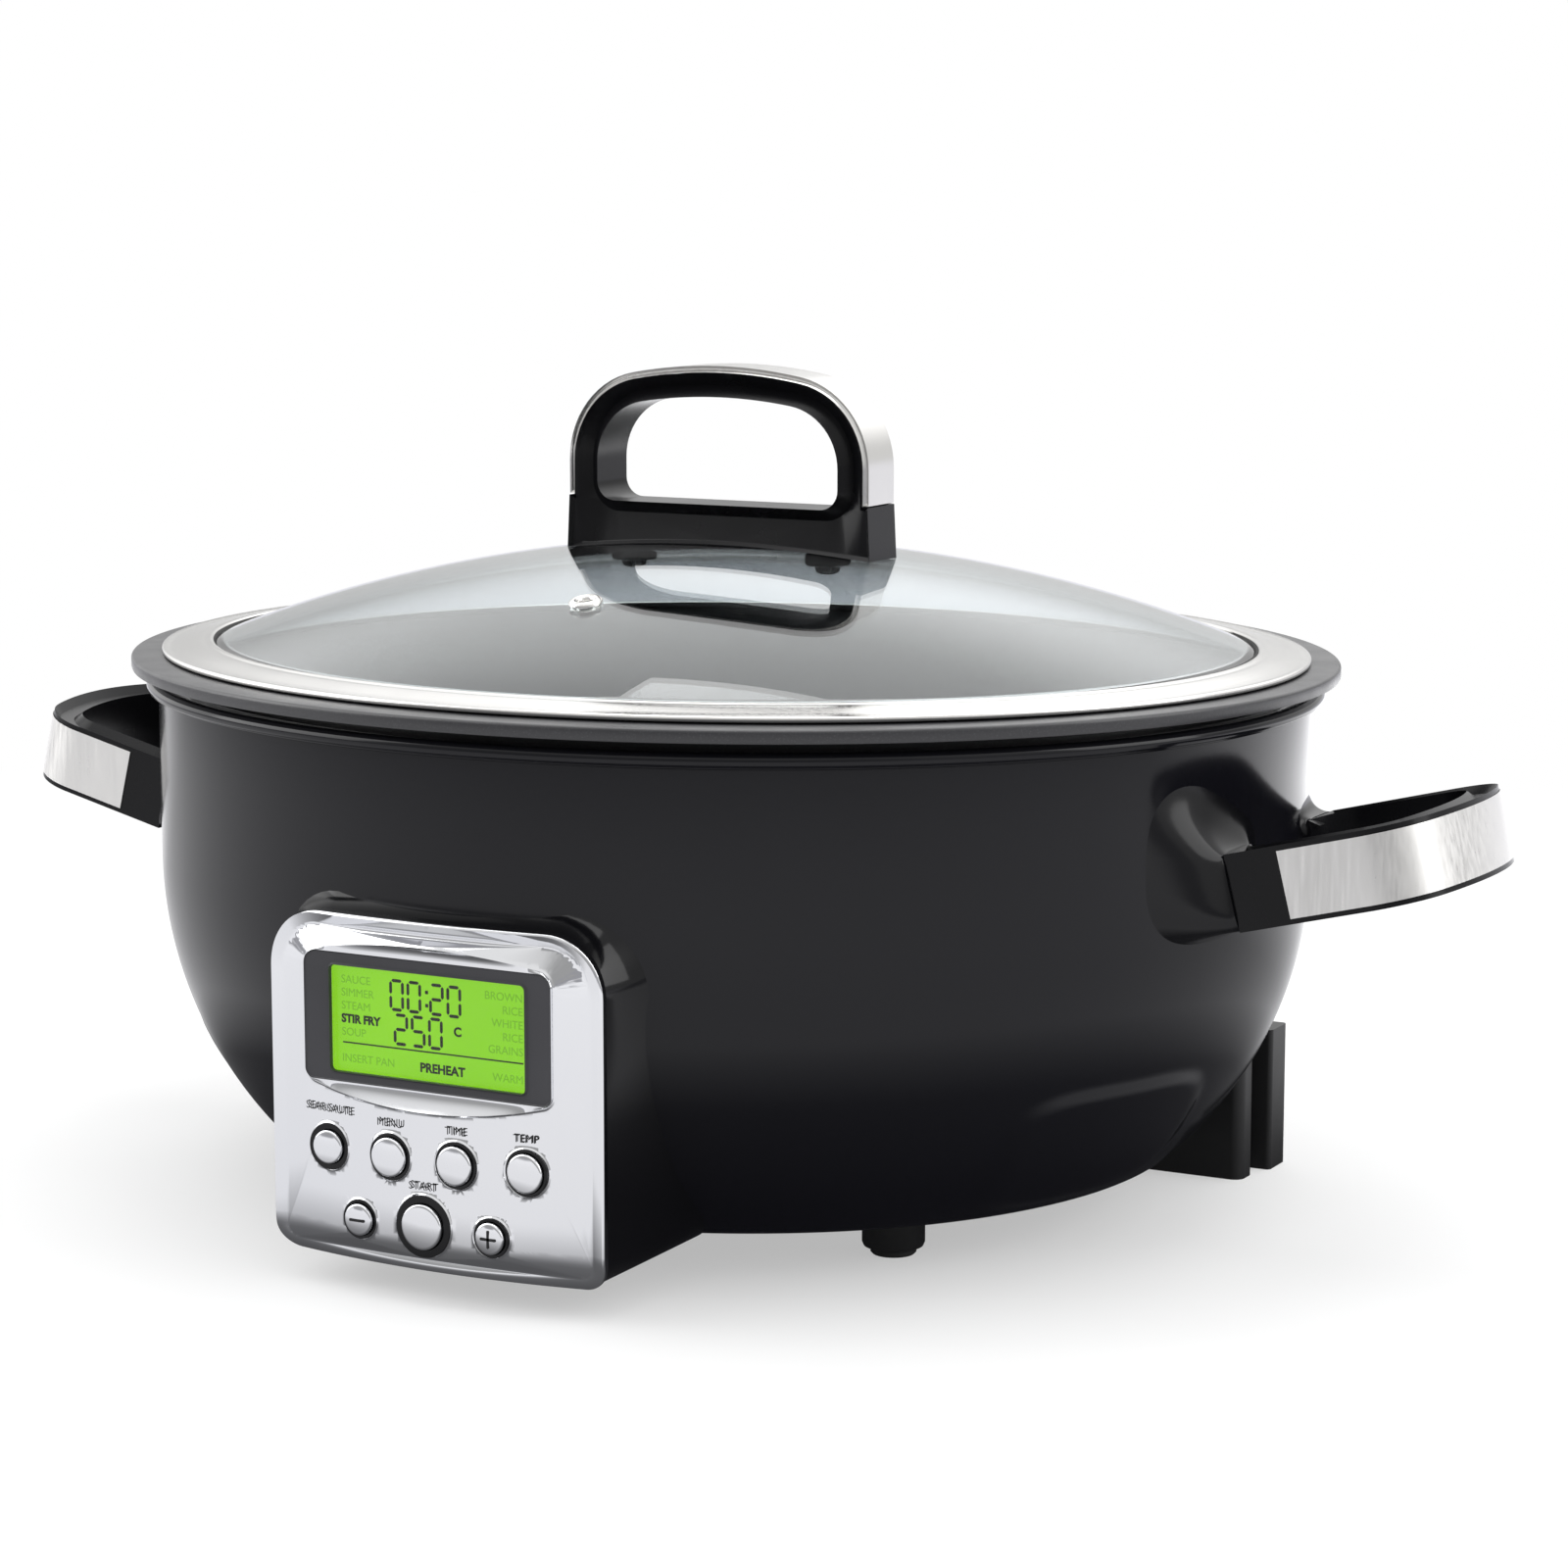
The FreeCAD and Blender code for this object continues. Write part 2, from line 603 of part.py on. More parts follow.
def hoop(half, top, corner, crown):
    """Half of a hoop about the upright axis of a flat drawing, every arc meeting the next
    smoothly: where the straight side ends, the corner's middle, the crown's start, the top."""
    level = top - crown + math.sqrt((crown - corner) ** 2 - (half - corner) ** 2)
    end = math.acos((half - corner) / (crown - corner))
    points = [(half - corner + corner * math.cos(angle), level + corner * math.sin(angle))
              for angle in (0, end / 2, end)]
    return points + [(0.0, top)]


def mirrored(point):
    return Vector(point.x, -point.y, point.z)


def grip_edges(inset, root):
    """The outer edge of a grip in plan from one root to the other, drawn `inset` inside it."""
    points = hoop(size("grip_half") - inset, size("grip_reach") - inset,
                  size("grip_corner") - inset, size("grip_crown") - inset)
    arm_end, middle, end_start, tip = [Vector(out, -across, 0) for across, out in points]
    start = Vector(root, arm_end.y, 0)
    lines = [Part.LineSegment(start, arm_end), Part.Arc(arm_end, middle, end_start),
             Part.Arc(end_start, tip, mirrored(end_start)),
             Part.Arc(mirrored(end_start), mirrored(middle), mirrored(arm_end)),
             Part.LineSegment(mirrored(arm_end), mirrored(start))]
    return lines, start


def plan_sketch(name, curves, placement):
    sketch = doc.addObject("Sketcher::SketchObject", name)
    sketch.Placement = placement
    for curve in curves:
        geometry = curve
        if isinstance(curve, Part.Arc):
            geometry = Part.ArcOfCircle(*arc_points(curve))
        sketch.addGeometry(geometry, False)
    return sketch


def arc_points(curve):
    """Three points along an arc."""
    first, last = curve.FirstParameter, curve.LastParameter
    return curve.value(first), curve.value((first + last) / 2), curve.value(last)


def grip_solid(name, curves, tall, placement):
    """A plan outline made solid, centred on the grip's middle height."""
    lowered = placement * Placement(Vector(0, 0, -tall / 2), Rotation())
    solid = doc.addObject("Part::Extrusion", name)
    solid.Base = plan_sketch(name + "_plan", curves, lowered)
    solid.DirMode = "Custom"
    solid.Dir = placement.Rotation.multVec(Vector(0, 0, 1))
    solid.LengthFwd = tall
    solid.Solid = True
    return solid


def grip_placement(side):
    """A grip starts at its pivot line and tilts up outwards."""
    turn = Rotation(Vector(0, 1, 0), -size("grip_tilt"))
    if side < 0:
        turn = Rotation(Vector(0, 0, 1), 180) * turn
    return Placement(Vector(side * size("grip_start"), 0, size("grip_level")), turn)


def make_grips():
    root, inner_root, arm, heel = -15.2, -4.0, 9.5, 12.0
    for side, word in ((-1, "left"), (1, "right")):
        place = grip_placement(side)
        outer, first = grip_edges(0, root)
        inner, turn_in = grip_edges(arm, inner_root)
        inner_half = size("grip_half") - arm
        heel_point = Vector(root, -inner_half + heel, 0)
        hollow = Vector(inner_root - 3.2, -inner_half + 3.4, 0)
        closing = [Part.Arc(turn_in, hollow, heel_point), Part.LineSegment(heel_point, first),
                   Part.Arc(mirrored(turn_in), mirrored(hollow), mirrored(heel_point)),
                   Part.LineSegment(mirrored(heel_point), mirrored(first))]
        full = grip_solid(f"{word}_grip_full", outer + inner + closing, size("grip_tall"), place)
        soft = rounded(f"{word}_grip_soft", full, 1.8,
                       lambda edge: is_rim(edge, place, size("grip_tall")))
        band_out, band_start = grip_edges(0, 0.8)
        band_in, band_inner = grip_edges(size("strap_thick"), 0.8)
        ends = [Part.LineSegment(band_start, band_inner),
                Part.LineSegment(mirrored(band_start), mirrored(band_inner))]
        strap = grip_solid(f"{word}_strap", band_out + band_in + ends, size("strap_tall"), place)
        space = grip_solid(f"{word}_strap_space", band_out + band_in + ends,
                           size("strap_tall"), place)
        tools = [space] + [screw_bore(f"{word}_grip_bore", (side, end), 2.05, 170, 24)
                           for end in (-1, 1)]
        subpart(f"{word}_side_handle", cut(f"{word}_side_handle", soft, tools))
        subpart(f"{word}_handle_strap", strap)
    screws = []
    for side, end in GRIP_CORNERS:
        stem = screw_bore("grip_stem", (side, end), 2.0, 173.0, 19)
        head = screw_bore("grip_head", (side, end), 4.0, 171.0, 3)
        screws.append(fuse(f"grip_screw_{side}_{end}", [stem, head]))
    subpart("side_handle_screws", group("side_handle_screws", screws))


def is_rim(edge, place, tall):
    """Whether an edge lies in a grip's top or bottom face."""
    heights = [place.inverse().multVec(vertex.Point).z for vertex in edge.Vertexes]
    return all(abs(abs(height) - tall / 2) < 0.01 for height in heights)


# ---------------------------------------------------------------- control pod

def bow_depth(x):
    """How far back the bowed face lies at a distance from the middle."""
    radius = size("pod_bow")
    return radius - math.sqrt(radius ** 2 - x ** 2)


def bow_drum(name, back):
    """The upright drum whose front is the bowed face, moved back by a distance."""
    return rod(name, f"pod_bow - {back}", (0, "0 - pod_face + pod_bow", 0), 200)


# name, sideways place, row, width, ring thickness
KEYS = [("sear", "0 - key_out", "key_row", "key_size", 1.3),
        ("menu", "0 - key_in", "key_row", "key_size", 0.5),
        ("time", "key_in", "key_row", "key_size", 0.5),
        ("temp", "key_out", "key_row", "key_size", 0.5),
        ("minus", "0 - step_out", "step_row", "step_size", 0.5),
        ("start", "0", "start_row", "start_size", 1.8),
        ("plus", "step_out", "step_row", "step_size", 0.5)]


def key_spot(key):
    """Sideways place, height and face depth of a button, in millimetres."""
    doc.recompute()
    x = {"sear": -size("key_out"), "menu": -size("key_in"), "time": size("key_in"),
         "temp": size("key_out"), "minus": -size("step_out"), "start": 0.0,
         "plus": size("step_out")}[key[0]]
    return x, size(key[2]), -size("pod_face") + bow_depth(x)


def make_pod():
    front = front_outline("pod_front", "pod_half - 0.4", "pod_low + 0.4", "pod_top - 0.4", 7, 17,
                          "pod_face - 9")
    flare = front_outline("pod_flare", "pod_half + 2", "pod_low + 0.8", "pod_top + 8", 7, 19,
                          "pod_face - 13")
    back = front_outline("pod_back", "pod_half + 7", "pod_low + 3.5", "pod_top + 14", 7, 20, 112)
    case = loft("pod_case", [front, flare, back], ruled=True)
    inner_front = front_outline("pod_inner_front", "pod_half - 3", "pod_low + 3", "pod_top - 3",
                                5, 14, "pod_face - 8")
    inner_back = front_outline("pod_inner_back", "pod_half + 4.4", "pod_low + 6.2",
                               "pod_top + 4.4", 5, 17, 110)
    hollow = loft("pod_hollow", [inner_front, inner_back], ruled=True)
    trimmed = cut("pod_trimmed", case, [hollow, shell_solid()])
    subpart("pod_housing", trimmed)


def make_bezel():
    outline = front_slab("bezel_block", "pod_half", "pod_low", "pod_top", 7, 17, "pod_face + 4", 13)
    bowed = common("bezel_bowed", outline, bow_drum("bezel_drum", 0))
    face_edges = rounded("bezel_soft", bowed, 2.6, lambda edge: edge.BoundBox.YMax < -168
                         and edge.BoundBox.YMin > -179 and edge.Length > 8
                         and not runs_along(edge, Vector(0, 1, 0)))
    core = front_slab("bezel_core", "pod_half - 1.6", "pod_low + 1.6", "pod_top - 1.6", 5.4, 15.4,
                      "pod_face + 4", 20)
    behind = common("bezel_behind", core, bow_drum("bezel_behind_drum", "bezel_thick"))
    tools = [behind,
             front_slab("bezel_window", "frame_half", "frame_low", "frame_high", 3, 4,
                        "pod_face + 2", 12)]
    for key in KEYS:
        tools.append(rod(f"bezel_hole_{key[0]}", f"{key[3]} / 2 + 0.5",
                         (key[1], "0 - pod_face - 2", key[2]), 12, along="y"))
    subpart("pod_bezel", cut("pod_bezel", face_edges, tools))


def make_display():
    plate = front_slab("frame_plate", "frame_half - 0.15", "frame_low + 0.15", "frame_high - 0.15",
                       3, 4, "pod_face - 2.6", 2.4)
    opening = front_slab("frame_opening", "glow_half + 0.8", "glow_low - 0.8", "glow_high + 0.8",
                         1.5, 1.5, "pod_face + 1", 8)
    subpart("display_frame", cut("display_frame", plate, [opening]))
    subpart("display_lens", front_slab("display_lens", "glow_half + 0.7", "glow_low - 0.7",
                                       "glow_high + 0.7", 1.4, 1.4, "pod_face - 3.9", 1.0))
    subpart("lcd_module", front_slab("lcd_module", "glow_half + 2", "glow_low - 2",
                                     "glow_high + 2", 0.8, 0.8, "pod_face - 5.1", 5.0))


BOARD_FACE = 163.0
BOARD_THICK = 1.6


def make_boards():
    board = front_slab("board_plate", 37, 14, 98, 2, 2, BOARD_FACE, BOARD_THICK)
    subpart("control_board", board)
    switches = []
    for key in KEYS:
        x, z, _ = key_spot(key)
        body = block(f"switch_body_{key[0]}", (x - 3, -BOARD_FACE - 3.4, z - 3),
                     (x + 3, -BOARD_FACE, z + 3))
        switches.append(body)
    subpart("tact_switches", group("tact_switches", switches))
    power = block("power_board", (-60, -45, 25), (-20, 45, 26.6))
    subpart("power_board", power)
    relay = block("relay", (-50, -30, 26.6), (-34, -10, 38.6))
    subpart("relay", relay)
    screws = []
    for x in (-34, 34):
        for z in (18, 94):
            screws.append(rod(f"board_screw_{x}_{z}", 2.5, (x, -BOARD_FACE - 1.8, z), 1.75,
                              along="y"))
    subpart("board_screws", group("board_screws", screws))


def make_buttons():
    rings = []
    for key in KEYS:
        name, _, _, width, ring = key
        x, z, face = key_spot(key)
        outer = size(width) / 2 + 0.45
        inner = size(width) / 2 - ring
        depth = size("bezel_thick")
        sleeve = cut(f"ring_{name}", rod(f"ring_out_{name}", outer, (x, face + 0.35, z), depth,
                                         along="y"),
                     [rod(f"ring_in_{name}", inner, (x, face - 1, z), depth + 3, along="y")])
        rings.append(sleeve)
        cap = rod(f"cap_{name}", inner - 0.15, (x, f"{face} - key_proud", z), "key_proud + 4.2",
                  along="y")
        soft = rounded(f"cap_soft_{name}", cap, 0.8,
                       lambda edge: abs(edge.BoundBox.YMax - face + size("key_proud")) < 0.01)
        stem_start = face + 4.2
        stem_end = -BOARD_FACE - 3.4 - size("key_travel") - 0.25
        flange = rod(f"flange_{name}", inner + 0.8, (x, face + depth + 0.75, z), 1.0, along="y")
        stem = rod(f"stem_{name}", 1.8, (x, stem_start - 0.5, z), stem_end - stem_start + 0.5,
                   along="y")
        subpart(f"button_{name}", fuse(f"button_{name}", [soft, flange, stem]))
    subpart("button_rings", group("button_rings", rings))


# ---------------------------------------------------------------- pan

def make_pan():
    outside = bowl("pan_outside", "( mouth_long + pan_wall )", "( mouth_short + pan_wall )",
                   "( flange_top - 1 )", "pan_bend", "pan_arc", "pan_foot", steps=7)
    inside = bowl("pan_inside", "mouth_long", "mouth_short", "( flange_top + 2 )", "pan_bend",
                  "( pan_arc - pan_wall )", "( pan_foot + 5 )", steps=7)
    flange = oval_prism("flange_block", "flange_long", "flange_short",
                        "flange_top - flange_thick", "flange_top")
    soft = rounded("flange_soft", flange, 1.0, lambda edge: edge.Length > 500)
    subpart("pan", cut("pan", fuse("pan_whole", [outside, soft]), [inside]))


# ---------------------------------------------------------------- lid

def dome(name, drop):
    """The ellipsoid whose top is the glass's upper surface, lowered into itself by `drop`."""
    long_half, rise = size("glass_long"), size("glass_rise")
    radius = (long_half ** 2 + rise ** 2) / (2 * rise)
    ratio = size("glass_short") / long_half
    solid = doc.addObject("Part::Ellipsoid", name)
    solid.Radius1 = radius - drop
    solid.Radius2 = radius - drop
    solid.Radius3 = (radius - drop) * ratio
    solid.Angle1 = 0
    solid.Placement = Placement(Vector(0, 0, size("glass_edge") + rise - radius), Rotation())
    return solid


def dome_level(x, y):
    """Height of the glass's upper surface over a point."""
    long_half, rise = size("glass_long"), size("glass_rise")
    radius = (long_half ** 2 + rise ** 2) / (2 * rise)
    stretched = y * long_half / size("glass_short")
    return size("glass_edge") + rise - radius + math.sqrt(radius ** 2 - x ** 2 - stretched ** 2)


VENT_Y = -87.0


def glass_solid(name, margin=0.0):
    shell = cut(f"{name}_shell", dome(f"{name}_upper", -margin),
                [dome(f"{name}_lower", size("glass_thick") + margin)])
    edge = oval_prism(f"{name}_edge", f"glass_long + {margin}", f"glass_short + {margin}", 150, 230)
    return common(f"{name}_whole", shell, edge)


def make_lid_glass():
    holes = [rod(f"glass_hole_{side}", 3.2, (f"{side} * lid_screw_x", 0, 180), 40)
             for side in (-1, 1)]
    holes.append(rod("glass_vent_hole", 3.4, (0, VENT_Y, 170), 40))
    subpart("lid_glass", cut("lid_glass", glass_solid("glass"), holes))


def make_lid_ring():
    lip = oval_prism("ring_lip", "lid_long", "lid_short", "lid_low", "lid_low + 1.5")
    slope = loft("ring_slope",
                 [oval("ring_slope_low", "lid_long - 0.8", "lid_short - 0.8", "lid_low + 1.4"),
                  oval("ring_slope_high", "glass_long + 1", "glass_short + 1", "lid_low + 3.8")],
                 ruled=True)
    hole = oval_prism("ring_hole", "glass_long + 0.9", "glass_short + 0.9", 160, 175)
    subpart("lid_ring", cut("lid_ring", fuse("ring_whole", [lip, slope]), [hole]))


def make_lid_gasket():
    band = oval_prism("gasket_out", "glass_long + 0.85", "glass_short + 0.85", "lid_low - 2.2",
                      "lid_low + 3.6")
    hole = oval_prism("gasket_in", "glass_long - 1.3", "glass_short - 1.3", 150, 180)
    subpart("lid_gasket", cut("lid_gasket", band, [hole, glass_space()]))


def make_vent():
    top = dome_level(0, VENT_Y)
    slope = Rotation(Vector(1, 0, 0), 15)
    pieces = []
    for name, radius, start, length in (("upper", 5.0, 0.25, 1.3), ("barrel", 3.1, -5.3, 6.0),
                                        ("lower", 4.8, -5.4, 0.9)):
        piece = doc.addObject("Part::Cylinder", f"vent_{name}")
        piece.Radius, piece.Height = radius, length
        lift = slope.multVec(Vector(0, 0, start))
        piece.Placement = Placement(Vector(0, VENT_Y, top) + lift, slope)
        pieces.append(piece)
    bore = doc.addObject("Part::Cylinder", "vent_bore")
    bore.Radius, bore.Height = 2.0, 20
    bore.Placement = Placement(Vector(0, VENT_Y, top) + slope.multVec(Vector(0, 0, -10)), slope)
    eyelet = cut("vent_eyelet", fuse("vent_whole", pieces), [bore])
    subpart("vent_grommet", cut("vent_grommet", eyelet, [vent_space()]))


def glass_space():
    """The glass without its holes, a hair thicker, made once and used to trim what holds it."""
    return doc.getObject("glass_space_whole") or glass_solid("glass_space", 0.03)


def vent_space():
    """The glass with only its vent hole, to trim the grommet against."""
    hole = rod("vent_space_hole", 3.4, (0, VENT_Y, 170), 40)
    return cut("vent_space", glass_space(), [hole])


def arch_curves(grow, low):
    """The arch of the lid handle seen from the front, grown outwards by a distance."""
    half = size("knob_half") + grow
    points = hoop(half, size("knob_top") + grow, size("knob_corner") + grow,
                  size("knob_crown") + grow)
    side, middle, roof, top = [Vector(x, z, 0) for x, z in points]
    left = [Vector(-point.x, point.y, 0) for point in (side, middle, roof)]
    curves = [Part.LineSegment(Vector(half, low, 0), side), Part.Arc(side, middle, roof),
              Part.Arc(roof, top, left[2]), Part.Arc(left[2], left[1], left[0]),
              Part.LineSegment(left[0], Vector(-half, low, 0))]
    return curves, Vector(half, low, 0), Vector(-half, low, 0)


def upright_solid(name, curves, deep):
    """Front-view curves made solid, centred front to back."""
    upright = Placement(Vector(0, deep / 2, 0), Rotation(Vector(1, 0, 0), 90))
    solid = doc.addObject("Part::Extrusion", name)
    solid.Base = plan_sketch(name + "_outline", curves, upright)
    solid.DirMode = "Custom"
    solid.Dir = Vector(0, -1, 0)
    solid.LengthFwd = deep
    solid.Solid = True
    return solid


def make_lid_handle():
    deep = size("knob_deep")
    shoulder, foot_half, foot_low = 212.0, 52.5, 185.0
    arch, arch_right, arch_left = arch_curves(0, shoulder)
    foot_top_right = Vector(foot_half, shoulder, 0)
    foot_right = Vector(foot_half + 0.8, foot_low, 0)
    foot_left = Vector(-foot_half - 0.8, foot_low, 0)
    foot_top_left = Vector(-foot_half, shoulder, 0)
    base = [Part.LineSegment(arch_left, foot_top_left), Part.LineSegment(foot_top_left, foot_left),
            Part.LineSegment(foot_left, foot_right), Part.LineSegment(foot_right, foot_top_right),
            Part.LineSegment(foot_top_right, arch_right)]
    body = upright_solid("knob_body", arch + base, deep)
    window = upright_solid("knob_window", window_curves(), deep + 4)
    holed = cut("knob_holed", body, [window])
    soft = rounded("knob_soft", holed, 2.0, lambda edge: is_window_edge(edge, deep))
    tools = [dome("knob_dome", 0)]
    bore_low, bore_depth = 180, 28
    tools += [rod(f"knob_bore_{side}", 2.1, (f"{side} * lid_screw_x", 0, bore_low), bore_depth)
              for side in (-1, 1)]
    subpart("lid_handle", cut("lid_handle", soft, tools))

    outer, outer_right, outer_left = arch_curves(size("band_thick"), shoulder + 0.15)
    inner, inner_right, inner_left = arch_curves(0.1, shoulder + 0.15)
    ends = [Part.LineSegment(outer_right, inner_right), Part.LineSegment(outer_left, inner_left)]
    band = upright_solid("knob_band", outer + inner + ends, deep - 1.4)
    subpart("lid_handle_band", rounded("knob_band_soft", band, 0.8,
                                       lambda edge: is_band_edge(edge, deep)))


def window_curves():
    """The finger opening of the lid handle: a hoop closed by a floor with small corners."""
    half, low, corner = size("window_half"), size("window_low"), 6.0
    side, middle, roof, top = hoop(half, size("window_top"), 19.0, 170.0)
    turn = corner * (1 - math.sqrt(0.5))
    walk = [(half - corner, low), (half - turn, low + turn), (half, low + corner), side, middle,
            roof]
    right = [Vector(x, z, 0) for x, z in walk]
    left = [Vector(-x, z, 0) for x, z in walk]
    return [Part.LineSegment(left[0], right[0]), Part.Arc(right[0], right[1], right[2]),
            Part.LineSegment(right[2], right[3]), Part.Arc(right[3], right[4], right[5]),
            Part.Arc(right[5], Vector(*top, 0), left[5]), Part.Arc(left[5], left[4], left[3]),
            Part.LineSegment(left[3], left[2]), Part.Arc(left[2], left[1], left[0])]


def is_window_edge(edge, deep):
    """Whether an edge borders the finger opening on the handle's front or back."""
    box = edge.BoundBox
    flat = box.YLength < 0.01 and abs(abs(box.YMin) - deep / 2) < 0.01
    inside = max(abs(box.XMin), abs(box.XMax)) < size("window_half") + 0.01
    return flat and inside and box.ZMin > size("window_low") - 0.1


def is_band_edge(edge, deep):
    box = edge.BoundBox
    flat = box.YLength < 0.01 and abs(abs(box.YMin) - deep / 2 + 0.7) < 0.01
    return flat and edge.Length > 5 and box.ZMax > 222 and outer_side(edge)


def outer_side(edge):
    """Whether an edge lies on the band's outer surface."""
    curves, _, _ = arch_curves(size("band_thick"), 200.0)
    middle = edge.valueAt((edge.FirstParameter + edge.LastParameter) / 2)
    point = Vector(middle.x, middle.z, 0)
    return min(curve.toShape().distToShape(Part.Vertex(point))[0] for curve in curves) < 0.02


def make_lid_screws():
    seals, screws = [], []
    spot_level = dome_level(size("lid_screw_x"), 0) - size("glass_thick") - 0.6
    for side in (-1, 1):
        across = f"{side} * lid_screw_x"
        ring = rod(f"seal_out_{side}", 7, (across, 0, spot_level - 2.4), 4)
        bore = rod(f"seal_bore_{side}", 2.1, (across, 0, spot_level - 4), 10)
        seals.append(cut(f"seal_{side}", ring, [bore, glass_space()]))
        head = rod(f"lid_head_{side}", 4, (across, 0, spot_level - 5.0), 2.5)
        stem = rod(f"lid_stem_{side}", 2.0, (across, 0, spot_level - 2.6), 16)
        screws.append(fuse(f"lid_screw_{side}", [head, stem]))
    subpart("handle_seals", group("handle_seals", seals))
    subpart("lid_screws", group("lid_screws", screws))


# ---------------------------------------------------------------- build, check and write

def build():
    for make in (make_shell, make_rim_ring, make_liner, make_insulation, make_heater, make_sensor,
                 make_base_cover, make_feet, make_rear_legs, make_gland, make_bosses, make_grips,
                 make_pod, make_bezel, make_display, make_boards, make_buttons, make_pan,
                 make_lid_glass, make_lid_ring, make_lid_gasket, make_vent, make_lid_handle,
                 make_lid_screws):
        make()
    doc.recompute()


def check():
    """Stop if any object of the document failed or any sub-part is empty or not sound."""
    faults = [thing.Name for thing in doc.Objects
              if "Invalid" in thing.State or "Error" in thing.State]
    for name, thing in SUBPARTS:
        shape = thing.Shape
        if shape.isNull() or not shape.isValid() or not shape.Solids:
            faults.append(name)
    if faults:
        raise RuntimeError("unsound: " + ", ".join(faults))


def write():
    os.makedirs("parts", exist_ok=True)
    for name, thing in SUBPARTS:
        thing.Shape.exportStep(os.path.join("parts", name + ".step"))
        box = thing.Shape.optimalBoundingBox(False)
        print(f"{name:24s} solids {len(thing.Shape.Solids)} volume {thing.Shape.Volume / 1000:9.2f}"
              f" cm3  x {box.XMin:7.1f} {box.XMax:7.1f}  y {box.YMin:7.1f} {box.YMax:7.1f}"
              f"  z {box.ZMin:6.1f} {box.ZMax:6.1f}")


build()
check()
write()
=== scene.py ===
"""The looks of an oval slow cooker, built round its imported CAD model.

Metres, +Z up, +X to the user's right, the control pod faces -Y.  Every place and size is
read from the frame or worked out from the few named dimensions below.
"""

import json
import math

import bmesh
import bpy
from mathutils import Matrix, Vector


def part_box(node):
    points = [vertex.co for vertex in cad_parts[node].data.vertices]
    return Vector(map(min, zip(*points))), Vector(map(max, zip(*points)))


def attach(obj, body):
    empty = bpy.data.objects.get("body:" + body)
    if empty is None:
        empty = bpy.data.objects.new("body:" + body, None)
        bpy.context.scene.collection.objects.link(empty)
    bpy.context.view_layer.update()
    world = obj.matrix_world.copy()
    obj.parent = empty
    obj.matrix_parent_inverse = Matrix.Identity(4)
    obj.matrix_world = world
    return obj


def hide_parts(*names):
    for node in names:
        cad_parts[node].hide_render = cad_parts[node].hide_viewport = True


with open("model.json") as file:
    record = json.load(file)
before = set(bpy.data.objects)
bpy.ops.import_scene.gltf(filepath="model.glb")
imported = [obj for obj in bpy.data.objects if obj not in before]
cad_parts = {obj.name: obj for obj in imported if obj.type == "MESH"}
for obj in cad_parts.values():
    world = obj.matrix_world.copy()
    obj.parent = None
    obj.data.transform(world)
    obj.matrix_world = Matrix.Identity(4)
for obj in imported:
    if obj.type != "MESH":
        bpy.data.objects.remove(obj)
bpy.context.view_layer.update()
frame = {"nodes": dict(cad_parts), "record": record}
NODES = frame["nodes"]
MM = 0.001

# -------------------------------- dimensions from the frame


def centre_y(node):
    low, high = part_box(node)
    return (low.y + high.y) / 2


AXIS_Y = centre_y("lid_ring")
SEGMENTS = 480
UP, FORWARD = Vector((0, 0, 1)), Vector((0, -1, 0))


def halves(node):
    """Half length and half width of an oval node, and its lowest and highest level."""
    low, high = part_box(node)
    return high.x, high.y - AXIS_Y, low.z, high.z


def mm(points, level=0.0):
    """Points of a profile given in millimetres, the second value counted from a level."""
    return [(across * MM, level + up * MM) for across, up in points]



SHELL_LONG, SHELL_SHORT, SHELL_FOOT, SHELL_TOP = halves("outer_shell")
SHELL_BEND, SHELL_ARC = 103 * MM, 115 * MM
NARROW = 0.78

POD_FACE = 177 * MM - AXIS_Y
POD_LOW, POD_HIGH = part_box("pod_bezel")
POD_HALF = POD_HIGH.x
POD_BOW = 240 * MM
POD_CORNERS = (7 * MM, 17 * MM)
ROLL_START, ROLL_RADIUS = 19 * MM, 13.5 * MM


def bow(x):
    """How far back the pod's bowed face lies at a distance from the middle."""
    return POD_BOW - math.sqrt(POD_BOW ** 2 - x ** 2)


def roll(z):
    """How far back the foot of the pod's face rolls under."""
    under = max(0.0, ROLL_START - z)
    return ROLL_RADIUS - math.sqrt(ROLL_RADIUS ** 2 - under ** 2)


def shell_halves(level):
    """Half length and half width of the shell's outside at a height."""
    drop = max(0.0, SHELL_BEND - max(level, SHELL_FOOT))
    inset = SHELL_ARC - math.sqrt(SHELL_ARC ** 2 - drop ** 2)
    return SHELL_LONG - inset, SHELL_SHORT - NARROW * inset


def shell_x(y, level):
    """Half length of the shell at a place front to back and a height."""
    long_half, short_half = shell_halves(level)
    return long_half * math.sqrt(max(0.0, 1 - ((y - AXIS_Y) / short_half) ** 2))


def shell_front(x, level):
    """The shell's front surface at a distance from the middle and a height."""
    long_half, short_half = shell_halves(level)
    return AXIS_Y - short_half * math.sqrt(max(0.0, 1 - (x / long_half) ** 2))


# -------------------------------- material helpers


def set_sockets(node, sockets):
    for socket, value in sockets.items():
        node.inputs[socket.replace("_", " ")].default_value = value
    return node


def fresh(name, colour, roughness, metallic=0.0, **sockets):
    """A new material: its tree and its shader, with constants set on the sockets."""
    material = bpy.data.materials.new(name)
    material.use_nodes = True
    shader = material.node_tree.nodes["Principled BSDF"]
    plain = {"Base Color": (*colour, 1), "Roughness": roughness, "Metallic": metallic}
    return material, material.node_tree, set_sockets(shader, plain | sockets)


def add_node(tree, kind, **sockets):
    """A new node, with constants set on its sockets."""
    return set_sockets(tree.nodes.new("ShaderNode" + kind), sockets)


